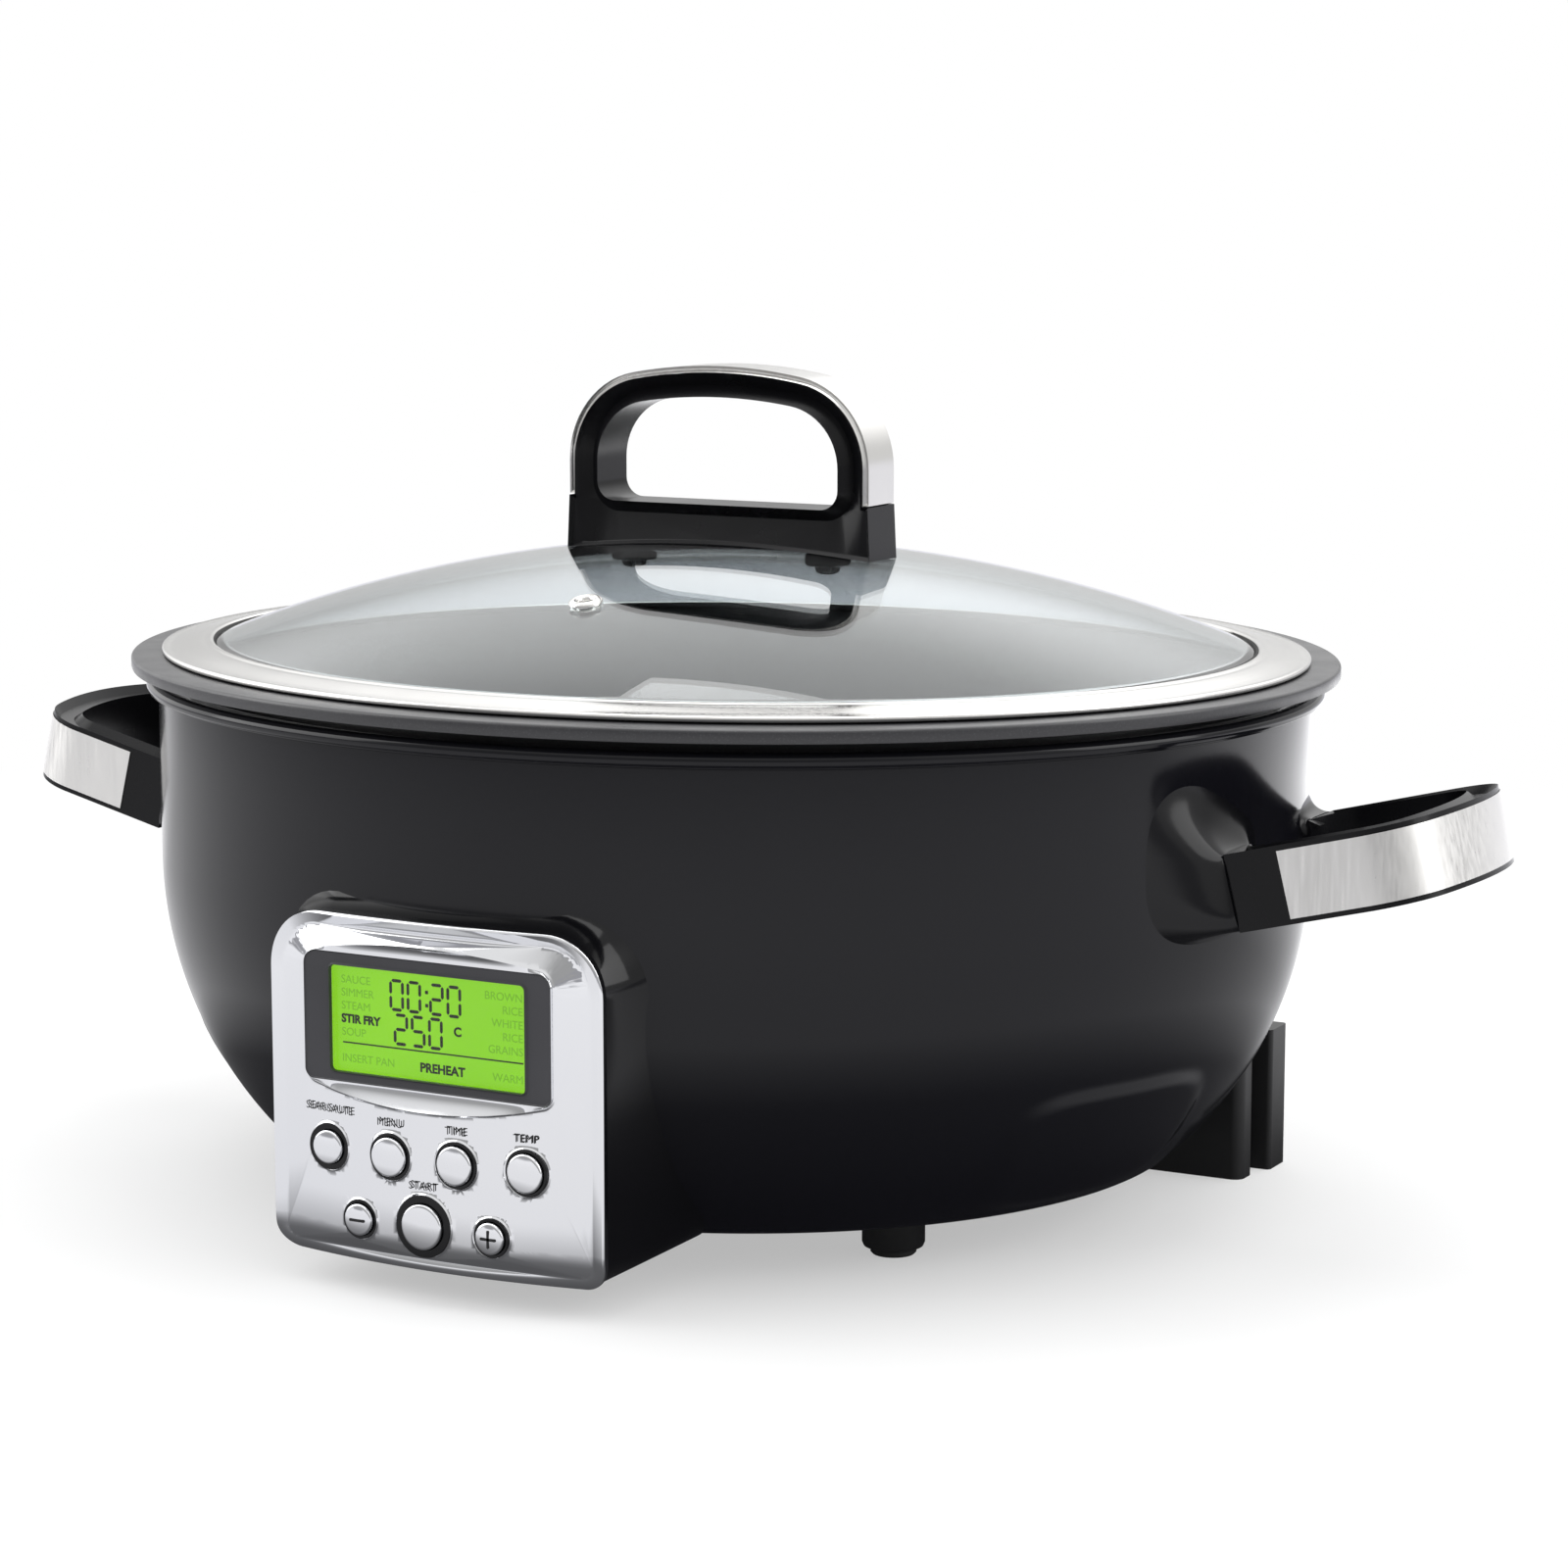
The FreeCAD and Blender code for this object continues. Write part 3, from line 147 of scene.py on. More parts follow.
def place(tree, stretch=(1, 1, 1)):
    """Coordinates in the row frame, stretched for brushed or drawn surfaces."""
    mapping = add_node(tree, "Mapping", Scale=stretch)
    tree.links.new(add_node(tree, "TexCoord").outputs["Object"], mapping.inputs["Vector"])
    return mapping.outputs["Vector"]


def noise(tree, scale, detail=3.0, stretch=(1, 1, 1)):
    node = add_node(tree, "TexNoise", Scale=scale, Detail=detail)
    tree.links.new(place(tree, stretch), node.inputs["Vector"])
    return node.outputs["Fac"]


def remapped(tree, source, start, end, low, high, interpolation="LINEAR"):
    """A value that goes from `low` to `high` while its source goes from `start` to `end`."""
    node = add_node(tree, "MapRange", From_Min=start, From_Max=end, To_Min=low, To_Max=high)
    node.interpolation_type = interpolation
    tree.links.new(source, node.inputs["Value"])
    return node.outputs["Result"]


def between(tree, source, low, high, socket, start=0.3, end=0.7):
    """Drive a value socket from `low` to `high` with a pattern."""
    tree.links.new(remapped(tree, source, start, end, low, high), socket)


def tinted(tree, source, stops, socket):
    """Drive a colour socket through a ramp of (position, colour) stops."""
    ramp = add_node(tree, "ValToRGB")
    first, last = ramp.color_ramp.elements
    first.position, first.color = stops[0][0], (*stops[0][1], 1)
    last.position, last.color = stops[-1][0], (*stops[-1][1], 1)
    for position, colour in stops[1:-1]:
        ramp.color_ramp.elements.new(position).color = (*colour, 1)
    tree.links.new(source, ramp.inputs["Fac"])
    tree.links.new(ramp.outputs["Color"], socket)


def relief(tree, shader, source, depth, strength=1.0):
    """Small relief: `depth` is in millimetres."""
    bump = add_node(tree, "Bump", Strength=strength, Distance=depth * MM)
    tree.links.new(source, bump.inputs["Height"])
    tree.links.new(bump.outputs["Normal"], shader.inputs["Normal"])


# -------------------------------- materials


def enamel(name, colour, roughness, index, patches, low, high, grain, depth):
    """A glossy coat with slightly uneven shine and the faintest orange peel."""
    material, tree, shader = fresh(name, colour, roughness, IOR=index)
    between(tree, noise(tree, patches), low, high, shader.inputs["Roughness"])
    relief(tree, shader, noise(tree, grain, 2), depth, 0.5)
    return material


def clear(name, colour, roughness, index, patches, low, high):
    """Glass or clear plastic."""
    material, tree, shader = fresh(name, colour, roughness, IOR=index, Transmission_Weight=1.0)
    between(tree, noise(tree, patches), low, high, shader.inputs["Roughness"])
    return material


def brushed(name, colour, roughness, stretch, depth):
    """Steel with fine marks drawn along one direction."""
    material, tree, shader = fresh(name, colour, roughness, 1.0)
    marks = noise(tree, 900, 4, stretch)
    between(tree, marks, roughness * 0.8, roughness * 1.3, shader.inputs["Roughness"])
    tinted(tree, noise(tree, 35, 4, stretch),
           [(0.3, tuple(0.93 * c for c in colour)), (0.7, colour)], shader.inputs["Base Color"])
    relief(tree, shader, marks, depth, 0.6)
    return material


def element_steel():
    """Heater steel with the straw and blue tints that heat leaves."""
    material, tree, shader = fresh("element_steel", (0.30, 0.29, 0.28), 0.4, 1.0)
    tinted(tree, noise(tree, 30),
           [(0.3, (0.20, 0.20, 0.23)), (0.5, (0.34, 0.28, 0.20)), (0.7, (0.36, 0.35, 0.33))],
           shader.inputs["Base Color"])
    relief(tree, shader, noise(tree, 700), 0.01, 0.6)
    return material


def cast_aluminium():
    """A casting whose face is turned flat, with the rings of the cutting tool."""
    material, tree, shader = fresh("cast_aluminium", (0.6, 0.6, 0.6), 0.38, 1.0)
    rings = add_node(tree, "TexWave", Scale=160, Distortion=0.4)
    rings.wave_type, rings.rings_direction = "RINGS", "Z"
    tree.links.new(place(tree), rings.inputs["Vector"])
    between(tree, rings.outputs["Fac"], 0.3, 0.46, shader.inputs["Roughness"], 0, 1)
    relief(tree, shader, rings.outputs["Fac"], 0.02, 0.5)
    return material


def chrome():
    material, tree, shader = fresh("chrome", (0.86, 0.87, 0.89), 0.06, 1.0)
    between(tree, noise(tree, 60, 4), 0.045, 0.085, shader.inputs["Roughness"])
    tinted(tree, noise(tree, 9), [(0.3, (0.84, 0.85, 0.88)), (0.7, (0.88, 0.885, 0.90))],
           shader.inputs["Base Color"])
    return material


def moulded(name, colour, roughness, scale, depth, index):
    """A moulded surface: fine grain, with slightly uneven shine."""
    material, tree, shader = fresh(name, colour, roughness, IOR=index)
    between(tree, noise(tree, 40), roughness * 0.88, roughness * 1.12, shader.inputs["Roughness"])
    tinted(tree, noise(tree, 26, 4),
           [(0.3, tuple(0.85 * c for c in colour)), (0.7, tuple(1.12 * c for c in colour))],
           shader.inputs["Base Color"])
    relief(tree, shader, noise(tree, scale, 4), depth, 0.6)
    return material


def glass_fibre():
    """Needled fibre: a felt of crossing threads."""
    material, tree, shader = fresh("glass_fibre", (0.74, 0.71, 0.62), 0.9)
    threads = noise(tree, 420, 6, (1, 1, 0.25))
    tinted(tree, threads, [(0.3, (0.58, 0.55, 0.46)), (0.65, (0.80, 0.78, 0.70))],
           shader.inputs["Base Color"])
    relief(tree, shader, threads, 0.5, 0.9)
    return material


def board_green():
    """Solder mask over copper: the tracks show as slightly lighter, raised lines."""
    material, tree, shader = fresh("board_green", (0.015, 0.12, 0.045), 0.3)
    tracks = add_node(tree, "TexBrick", Scale=90, Mortar_Size=0.06, Color1=(0.010, 0.10, 0.035, 1),
                      Color2=(0.012, 0.12, 0.045, 1), Mortar=(0.05, 0.26, 0.10, 1))
    tree.links.new(place(tree), tracks.inputs["Vector"])
    tree.links.new(tracks.outputs["Color"], shader.inputs["Base Color"])
    relief(tree, shader, tracks.outputs["Fac"], 0.04, 0.5)
    return material


def pan_coating():
    """Ceramic non-stick coating: dark grey, slightly rough, with very fine bright specks."""
    material, tree, shader = fresh("pan_coating", (0.026, 0.026, 0.029), 0.38, Coat_Weight=0.25,
                                   Coat_Roughness=0.25)
    specks = add_node(tree, "TexVoronoi", Scale=1500)
    tree.links.new(place(tree), specks.inputs["Vector"])
    tinted(tree, specks.outputs["Distance"], [
        (0.0, (0.13, 0.13, 0.14)), (0.12, (0.034, 0.034, 0.038)), (0.5, (0.024, 0.024, 0.027))],
        shader.inputs["Base Color"])
    between(tree, noise(tree, 60, 4), 0.32, 0.44, shader.inputs["Roughness"])
    relief(tree, shader, noise(tree, 1100, 4), 0.05, 0.7)
    return material


def lit(name, bright, dim):
    """A back-lit surface whose light is a little uneven."""
    material, tree, shader = fresh(name, tuple(0.2 * c for c in bright), 0.4,
                                   Emission_Strength=0.9)
    tinted(tree, noise(tree, 25, 1), [(0.3, dim), (0.7, bright)], shader.inputs["Emission Color"])
    return material


# name: colour, roughness, refractive index, scale of the patches of uneven shine, lowest and
# highest roughness, scale of the relief and its depth in millimetres
ENAMELS = {"shell_enamel": ((0.005, 0.005, 0.007), 0.13, 1.37, 14, 0.11, 0.16, 420, 0.012),
           "gloss_black": ((0.004, 0.004, 0.005), 0.1, 1.38, 22, 0.09, 0.15, 500, 0.008)}

# the same, without relief
CLEARS = {"lid_glass": ((0.91, 0.965, 0.975), 0.0, 1.55, 8, 0.0, 0.012),
          "display_clear": ((0.97, 0.99, 0.97), 0.02, 1.25, 90, 0.01, 0.04)}

# name: colour, roughness, stretch of the marks, and their depth in millimetres
STEELS = {"liner_steel": ((0.56, 0.56, 0.56), 0.34, (0.25, 0.25, 1.0), 0.004),
          "polished_steel": ((0.82, 0.81, 0.79), 0.19, (1.0, 1.0, 0.06), 0.0012),
          "screw_steel": ((0.62, 0.62, 0.62), 0.28, (1.0, 1.0, 0.3), 0.004),
          "strap_steel": ((0.86, 0.85, 0.83), 0.34, (1.0, 1.0, 0.06), 0.0012)}

# name: colour, roughness, scale of the grain, its depth in millimetres, and refractive index
MOULDINGS = {"phenolic": ((0.004, 0.004, 0.005), 0.26, 700, 0.012, 1.32),
             "black_plastic": ((0.013, 0.013, 0.014), 0.45, 1500, 0.03, 1.45),
             "rubber": ((0.014, 0.014, 0.014), 0.75, 1100, 0.04, 1.45),
             "display_grey": ((0.040, 0.040, 0.046), 0.40, 2200, 0.01, 1.45),
             "component_black": ((0.012, 0.012, 0.013), 0.55, 1800, 0.02, 1.45),
             "thermal_fuse": ((0.78, 0.74, 0.62), 0.35, 600, 0.02, 1.45)}

# name: bright and dim colours
LIGHTS = {"display_green": ((0.26, 0.66, 0.004), (0.23, 0.61, 0.003)),
          "display_ghost": ((0.15, 0.44, 0.003), (0.14, 0.41, 0.002))}

MATERIALS = {make.__name__: make() for make in (element_steel, cast_aluminium, chrome,
                                                glass_fibre, board_green, pan_coating)}
for make, looks in ((enamel, ENAMELS), (clear, CLEARS), (brushed, STEELS), (moulded, MOULDINGS),
                    (lit, LIGHTS)):
    MATERIALS |= {name: make(name, *look) for name, look in looks.items()}

for row in frame["record"]["subparts"]:
    materials = NODES[row["node"]].data.materials
    materials.clear()
    materials.append(MATERIALS[row["material_slot"]])


# -------------------------------- mesh helpers


def add_piece(mesh, slot, body, replaces=(), material=None, crease=35, even=False):
    """Show a mesh as the piece it is named after, moving with a body and standing for CAD
    nodes.  `even` keeps large flat faces flat where they run into roundings."""
    piece = bpy.data.objects.new(mesh.name, mesh)
    bpy.context.scene.collection.objects.link(piece)
    mesh.materials.append(MATERIALS[material or slot])
    mesh.shade_smooth()
    mesh.set_sharp_from_angle(angle=math.radians(crease))
    if even:
        piece.modifiers.new("even_shading", "WEIGHTED_NORMAL").keep_sharp = True
    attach(piece, body)
    if replaces:
        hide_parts(*replaces)


def written(whole, mesh):
    """A mesh filled from a bmesh, which is let go."""
    whole.to_mesh(mesh)
    whole.free()
    return mesh


def opened(mesh):
    """A bmesh with a mesh's contents."""
    whole = bmesh.new()
    whole.from_mesh(mesh)
    return whole


def ring_mesh(name, rings, closed=False, capped=False):
    """A skin over a row of closed rings that have equally many points."""
    count, around = len(rings), len(rings[0])
    faces = []
    for row in range(count if closed else count - 1):
        here, there = row * around, ((row + 1) % count) * around
        for step in range(around):
            after = (step + 1) % around
            faces.append((here + step, here + after, there + after, there + step))
    if capped:
        faces.append(tuple(range(around)))
        faces.append(tuple((count - 1) * around + step for step in range(around)))
    mesh = bpy.data.meshes.new(name)
    mesh.from_pydata([point for ring in rings for point in ring], [], faces)
    return facing_out(mesh)


def facing_out(mesh):
    whole = opened(mesh)
    bmesh.ops.remove_doubles(whole, verts=whole.verts, dist=1e-7)
    bmesh.ops.recalc_face_normals(whole, faces=whole.faces)
    return written(whole, mesh)


def joined(name, meshes):
    """Several meshes as one."""
    whole = bmesh.new()
    for mesh in meshes:
        whole.from_mesh(mesh)
        bpy.data.meshes.remove(mesh)
    return written(whole, bpy.data.meshes.new(name))


def oval_ring(long_half, short_half, level):
    turn = 2 * math.pi / SEGMENTS
    return [Vector((long_half * math.cos(step * turn),
                    AXIS_Y + short_half * math.sin(step * turn), level))
            for step in range(SEGMENTS)]


def oval_lathe(name, profile, closed=True):
    """A profile of (half length, half width, height) carried round the oval."""
    return ring_mesh(name, [oval_ring(*point) for point in profile], closed, not closed)


def arc(centre, radius, start, end, steps):
    """Points of an arc in a plane, from one angle in degrees to another."""
    points = []
    for step in range(steps + 1):
        angle = math.radians(start + (end - start) * step / steps)
        points.append((centre[0] + radius * math.cos(angle), centre[1] + radius * math.sin(angle)))
    return points


def oval_profile(long_half, short_half, section):
    """Profile points from (inset, height) points measured in from one oval."""
    return [(long_half - inset, short_half - inset, level) for inset, level in section]


def bowl_profile(long_half, short_half, top, bend, radius, foot, steps):
    """The skin of an oval bowl from its top edge down to its foot."""
    points = []
    for step in range(12):
        points.append((long_half, short_half, top + (bend - top) * step / 12))
    end = math.asin((bend - foot) / radius)
    for step in range(steps + 1):
        angle = end * step / steps
        turn = radius * (1 - math.cos(angle))
        points.append((long_half - turn, short_half - NARROW * turn,
                       bend - radius * math.sin(angle)))
    return points


def turned(name, profile, start, direction, around=64, closed=False):
    """A turned piece: (radius, distance along) points about an axis.  It is closed by its
    ends, or by its profile, which then comes back to where it began."""
    turn = direction.to_track_quat("Z", "X").to_matrix()
    angles = [2 * math.pi * step / around for step in range(around)]
    rings = [[start + turn @ Vector((radius * math.cos(angle), radius * math.sin(angle), along))
              for angle in angles] for radius, along in profile]
    return ring_mesh(name, rings, closed, not closed)


def turned_pair(name, profile, spot):
    """The same upright turned piece at a place and at its mirror image."""
    return joined(name, [turned("one", profile, Vector((side * spot.x, spot.y, spot.z)), UP)
                         for side in (-1, 1)])


def rounded_box(half, low, high, low_round, high_round, steps=10):
    """An upright rectangle with rounded corners, anticlockwise from its lower right."""
    return (arc((half - low_round, low + low_round), low_round, -90, 0, steps)
            + arc((half - high_round, high - high_round), high_round, 0, 90, steps)
            + arc((high_round - half, high - high_round), high_round, 90, 180, steps)
            + arc((low_round - half, low + low_round), low_round, 180, 270, steps))


def circle(centre, radius, steps=48):
    return arc(centre, radius, 0, 360 - 360 / steps, steps - 1)


def hoop(half, top, corner, crown, steps=14):
    """A hoop from its right side over the top to its left side, in arcs that meet smoothly:
    its half width, its height, and the radii of its corners and of its crown."""
    end = math.degrees(math.acos((half - corner) / (crown - corner)))
    level = top - crown + math.sqrt((crown - corner) ** 2 - (half - corner) ** 2)
    roof = arc((0, top - crown), crown, end, 180 - end, 2 * steps)
    return (arc((half - corner, level), corner, 0, end, steps) + roof[1:-1]
            + arc((corner - half, level), corner, 180 - end, 180, steps))


def inset(points, distance):
    """A closed outline moved to its left side, which is inwards if it runs anticlockwise."""
    moved = []
    for number, (x, y) in enumerate(points):
        before = Vector(points[number - 1])
        after = Vector(points[(number + 1) % len(points)])
        here = Vector((x, y))
        first, second = (here - before).normalized(), (after - here).normalized()
        left = Vector((-first.y - second.y, first.x + second.x))
        spread = left / (1 + first.dot(second))
        moved.append(tuple(here + spread * distance))
    return moved


def plate(name, loops, depth, steps=5):
    """A plate about the XY plane with rounded edges.  `loops` are (outline, rounding) pairs:
    the outer one runs anticlockwise and holes run clockwise."""
    whole = bmesh.new()
    rims = {1: [], -1: []}
    for outline, rounding in loops:
        rings = []
        for side in (-1, 1):
            quarter = range(steps + 1) if side < 0 else range(steps, -1, -1)
            for step in quarter:
                angle = math.pi / 2 * step / steps
                level = side * (depth / 2 - rounding * (1 - math.cos(math.pi / 2 - angle)))
                shape = inset(outline, rounding * (1 - math.sin(angle)))
                rings.append([whole.verts.new((x, y, level)) for x, y in shape])
        for below, above in zip(rings, rings[1:]):
            for step in range(len(below)):
                after = (step + 1) % len(below)
                whole.faces.new((below[step], below[after], above[after], above[step]))
        for side, ring in ((-1, rings[0]), (1, rings[-1])):
            rims[side] += [whole.edges.get((ring[step - 1], ring[step]))
                           for step in range(len(ring))]
    for side in (-1, 1):
        bmesh.ops.triangle_fill(whole, edges=rims[side], use_beauty=True)
    return facing_out(written(whole, bpy.data.meshes.new(name)))


FACING_FRONT = Matrix(((1, 0, 0, 0), (0, 0, -1, 0), (0, 1, 0, 0), (0, 0, 0, 1)))


def front_plate(name, loops, depth, front, steps=5):
    """A plate whose outline is drawn in X and Z and whose face looks to -Y at `front`."""
    mesh = plate(name, loops, depth, steps)
    mesh.transform(Matrix.Translation((0, front + depth / 2, 0)) @ FACING_FRONT)
    return mesh


def sliced(mesh, axis, places):
    """Cut a mesh's faces along planes, so that it can be bent smoothly."""
    whole = opened(mesh)
    normal = [0, 0, 0]
    normal[axis] = 1
    for where in places:
        point = [where * part for part in normal]
        bmesh.ops.bisect_plane(whole, geom=whole.verts[:] + whole.edges[:] + whole.faces[:],
                               plane_co=point, plane_no=normal, dist=1e-6)
    return written(whole, mesh)


# -------------------------------- base


PAD_CENTRE = Vector((160 * MM, -55 * MM + AXIS_Y, 37 * MM))
PAD_HALF = (37 * MM, 19 * MM)
PAD_RISE = 1.6 * MM
PAD_OUTER, PAD_SLOPE = 1.10, 0.26


def pad_height(point):
    """The soft pressed pads low on the shell, below the front of each side handle."""
    mirrored = Vector((abs(point.x), point.y, point.z))
    outward = Vector((PAD_CENTRE.x, PAD_CENTRE.y - AXIS_Y, 0)).normalized()
    along = (mirrored - PAD_CENTRE).dot(Vector((-outward.y, outward.x, 0)))
    if mirrored.y > PAD_CENTRE.y + 2 * PAD_HALF[0]:
        return 0.0
    reach = ((along / PAD_HALF[0]) ** 4 + ((mirrored.z - PAD_CENTRE.z) / PAD_HALF[1]) ** 4) ** 0.25
    ease = min(1.0, max(0.0, (PAD_OUTER - reach) / PAD_SLOPE))
    return PAD_RISE * ease * ease * (3 - 2 * ease)


def make_shell():
    wall, foot_round, foot_rise = 1.2 * MM, 5 * MM, 1.5 * MM
    outside = bowl_profile(SHELL_LONG, SHELL_SHORT, SHELL_TOP, SHELL_BEND, SHELL_ARC,
                           SHELL_FOOT + foot_rise, 96)
    long_half, short_half, _ = outside[-1]
    for share in (0.25, 0.5, 0.75, 1.0):
        outside.append((long_half - foot_round * share, short_half - foot_round * share,
                        SHELL_FOOT + foot_rise * (1 - share) ** 2))
    opening, ledge = (88 * MM, 78 * MM), 20 * MM
    outside += [(opening[0] + ledge, opening[1] + ledge, SHELL_FOOT),
                (*opening, SHELL_FOOT), (*opening, SHELL_FOOT + wall)]
    inside = bowl_profile(SHELL_LONG - wall, SHELL_SHORT - wall, SHELL_TOP, SHELL_BEND,
                          SHELL_ARC - wall, SHELL_FOOT + wall, 30)
    mesh = oval_lathe("outer_shell_skin", outside + inside[::-1])
    mesh.update()
    for vertex in mesh.vertices:
        out = Vector((vertex.co.x, vertex.co.y - AXIS_Y, -0.4 * SHELL_LONG)).normalized()
        vertex.co += out * pad_height(vertex.co)
    add_piece(mesh, "shell_enamel", "base", ["outer_shell"])


def make_rim():
    long_half, short_half, low, high = halves("rim_ring")
    bead, lip, inner, ledge = 2.3 * MM, 0.4 * MM, 11 * MM, high - 0.3 * (high - low)
    section = [(inner, low)] + arc((3.4 * MM, low + lip), lip, -90, -180, 3)
    section += arc((bead, high - bead), bead, 215, 90, 14) + mm([(6.2, -0.7)], high)
    section += [(8.4 * MM, ledge), (inner, ledge)]
    mesh = oval_lathe("rim_bead", oval_profile(long_half, short_half, section))
    add_piece(mesh, "shell_enamel", "base", ["rim_ring"], crease=50)


# -------------------------------- pan


def make_pan():
    long_half, short_half, low, top = halves("pan")
    thick, wall, mouth_inset, corner, edge = 4 * MM, 3.5 * MM, 23 * MM, 3 * MM, 1 * MM
    mouth = (long_half - mouth_inset, short_half - mouth_inset)
    bend, radius, floor = 110 * MM, 56 * MM, low + 5 * MM
    inner = bowl_profile(*mouth, top - corner, bend, radius - wall, floor, 26)
    outer = bowl_profile(mouth[0] + wall, mouth[1] + wall, top - thick, bend, radius, low, 26)
    flange = arc((mouth_inset - corner, top - corner), corner, 0, 90, 6)[1:] + [(12 * MM, top)]
    flange += arc((edge, top - edge), edge, 90, 180, 6)
    flange += mm([(0, 0.7), (0.2, 0.2), (0.7, 0)], top - thick)
    flange.append((mouth_inset - wall - 1.5 * MM, top - thick))
    middle = [(share * inner[-1][0], share * inner[-1][1], floor) for share in (0.2, 0.9, 0.985)]
    base = [(share * outer[-1][0], share * outer[-1][1], low) for share in (0.985, 0.9, 0.2)]
    profile = middle + inner[::-1] + oval_profile(long_half, short_half, flange) + outer + base
    mesh = oval_lathe("coated_pan", profile, closed=False)
    add_piece(mesh, "pan_coating", "pan", ["pan"])


# -------------------------------- lid


GLASS_LONG, GLASS_SHORT, _, GLASS_TOP = halves("lid_glass")
GLASS_EDGE = 168 * MM
GLASS_RISE = GLASS_TOP - GLASS_EDGE
GLASS_THICK = 3.8 * MM
DOME = (GLASS_LONG ** 2 + GLASS_RISE ** 2) / (2 * GLASS_RISE)


def dome_level(x, y=AXIS_Y, drop=0.0):
    """Height of the glass's upper surface, or of one `drop` below it, over a point."""
    across = (y - AXIS_Y) * GLASS_LONG / GLASS_SHORT
    return GLASS_TOP - DOME + math.sqrt((DOME - drop) ** 2 - x ** 2 - across ** 2)


def make_glass():
    steps, cut, bevel = 60, 0.2 * MM, 0.7 * MM
    shares = [0.004 + 0.99 * step / steps for step in range(steps + 1)]
    upper, lower = ([(share * GLASS_LONG, share * GLASS_SHORT,
                      dome_level(share * GLASS_LONG, drop=drop)) for share in shares]
                    for drop in (0, GLASS_THICK))
    edge = [(GLASS_LONG - cut, GLASS_SHORT - cut, level)
            for level in (upper[-1][2] - bevel, lower[-1][2] + bevel)]
    mesh = oval_lathe("domed_glass", upper + edge + lower[::-1], closed=False)
    add_piece(mesh, "lid_glass", "lid", ["lid_glass"])


def make_lid_ring():
    """The pressed steel ring: a rolled outer lip, a band that rises inwards, a crease and the
    edge that grips the glass."""
    long_half, short_half, low, high = halves("lid_ring")
    lip, steel = 0.95 * MM, 0.6 * MM
    rolled = arc((lip, low + lip), lip, 270, 105, 11)
    band = mm([(2.2, 1.55), (3.2, 1.6), (6, 2.15), (9, 2.75), (11.5, 3.2), (12.6, 3.3),
               (13.2, 3.2)], low)
    crest = mm([(13.9, -0.3), (14.8, 0), (15.6, -0.15)], high)
    back = [(inset_by, level - steel) for inset_by, level in (band[1:] + crest)[::-1]]
    section = rolled + band + crest + mm([(16.1, -0.7), (15.9, -1.6)], high) + back
    section.append((2.4 * MM, low))
    mesh = oval_lathe("lid_ring_pressed", oval_profile(long_half, short_half, section))
    add_piece(mesh, "polished_steel", "lid", ["lid_ring"], crease=60)


def make_gasket():
    long_half, short_half, low, high = halves("lid_gasket")
    section = mm([(0, 0.5)], low)
    section += mm([(0, -0.7), (0.4, -0.2), (1.0, -0.3), (1.5, -1.2), (1.9, -2.2)], high)
    section += mm([(1.9, 0.5), (1.2, 0)], low)
    mesh = oval_lathe("lid_gasket_seal", oval_profile(long_half, short_half, section))
    add_piece(mesh, "rubber", "lid", ["lid_gasket"], crease=60)


VENT_Y = centre_y("vent_grommet")


def make_vent():
    """A rolled eyelet through the glass, square to its surface."""
    slope = (dome_level(0, VENT_Y + MM) - dome_level(0, VENT_Y - MM)) / (2 * MM)
    start = Vector((0, VENT_Y, dome_level(0, VENT_Y)))
    curl = [(3.6 - 1.5 * math.cos(angle), 1.4 * math.sin(angle) + 0.1)
            for angle in (math.radians(15 * step) for step in range(13))]
    profile = mm(curl + [(3.2, 0)])
    profile += mm([(3.2, 0), (4.8, -0.2), (4.8, -1.0), (2.1, -1.0)], -GLASS_THICK)
    mesh = turned("vent_eyelet", profile, start, Vector((0, -slope, 1)).normalized(), 48, True)
    add_piece(mesh, "polished_steel", "lid", ["vent_grommet"], crease=50)


HANDLE_LOW, HANDLE_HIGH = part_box("lid_handle")
ARCH = (50.3 * MM, HANDLE_HIGH.z, 26 * MM, 160 * MM)
SHOULDER = 212 * MM
BAND_THICK = 2 * MM


def grown(sizes, distance):
    """A hoop of the given sizes, grown outwards by a distance."""
    return hoop(*(size + distance for size in sizes))


def handle_foot():
    """The lid handle's lower edge: down its left side, along the dome and up its right side."""
    foot_half = HANDLE_HIGH.x
    waist = foot_half - 0.8 * MM
    points = [(-ARCH[0], SHOULDER), (-waist, SHOULDER - 0.3 * MM)]
    for step in range(25):
        x = -foot_half + 2 * foot_half * step / 24
        points.append((x, dome_level(x, AXIS_Y + 9 * MM) - 0.1 * MM))
    return points + [(waist, SHOULDER - 0.3 * MM), (ARCH[0], SHOULDER)]


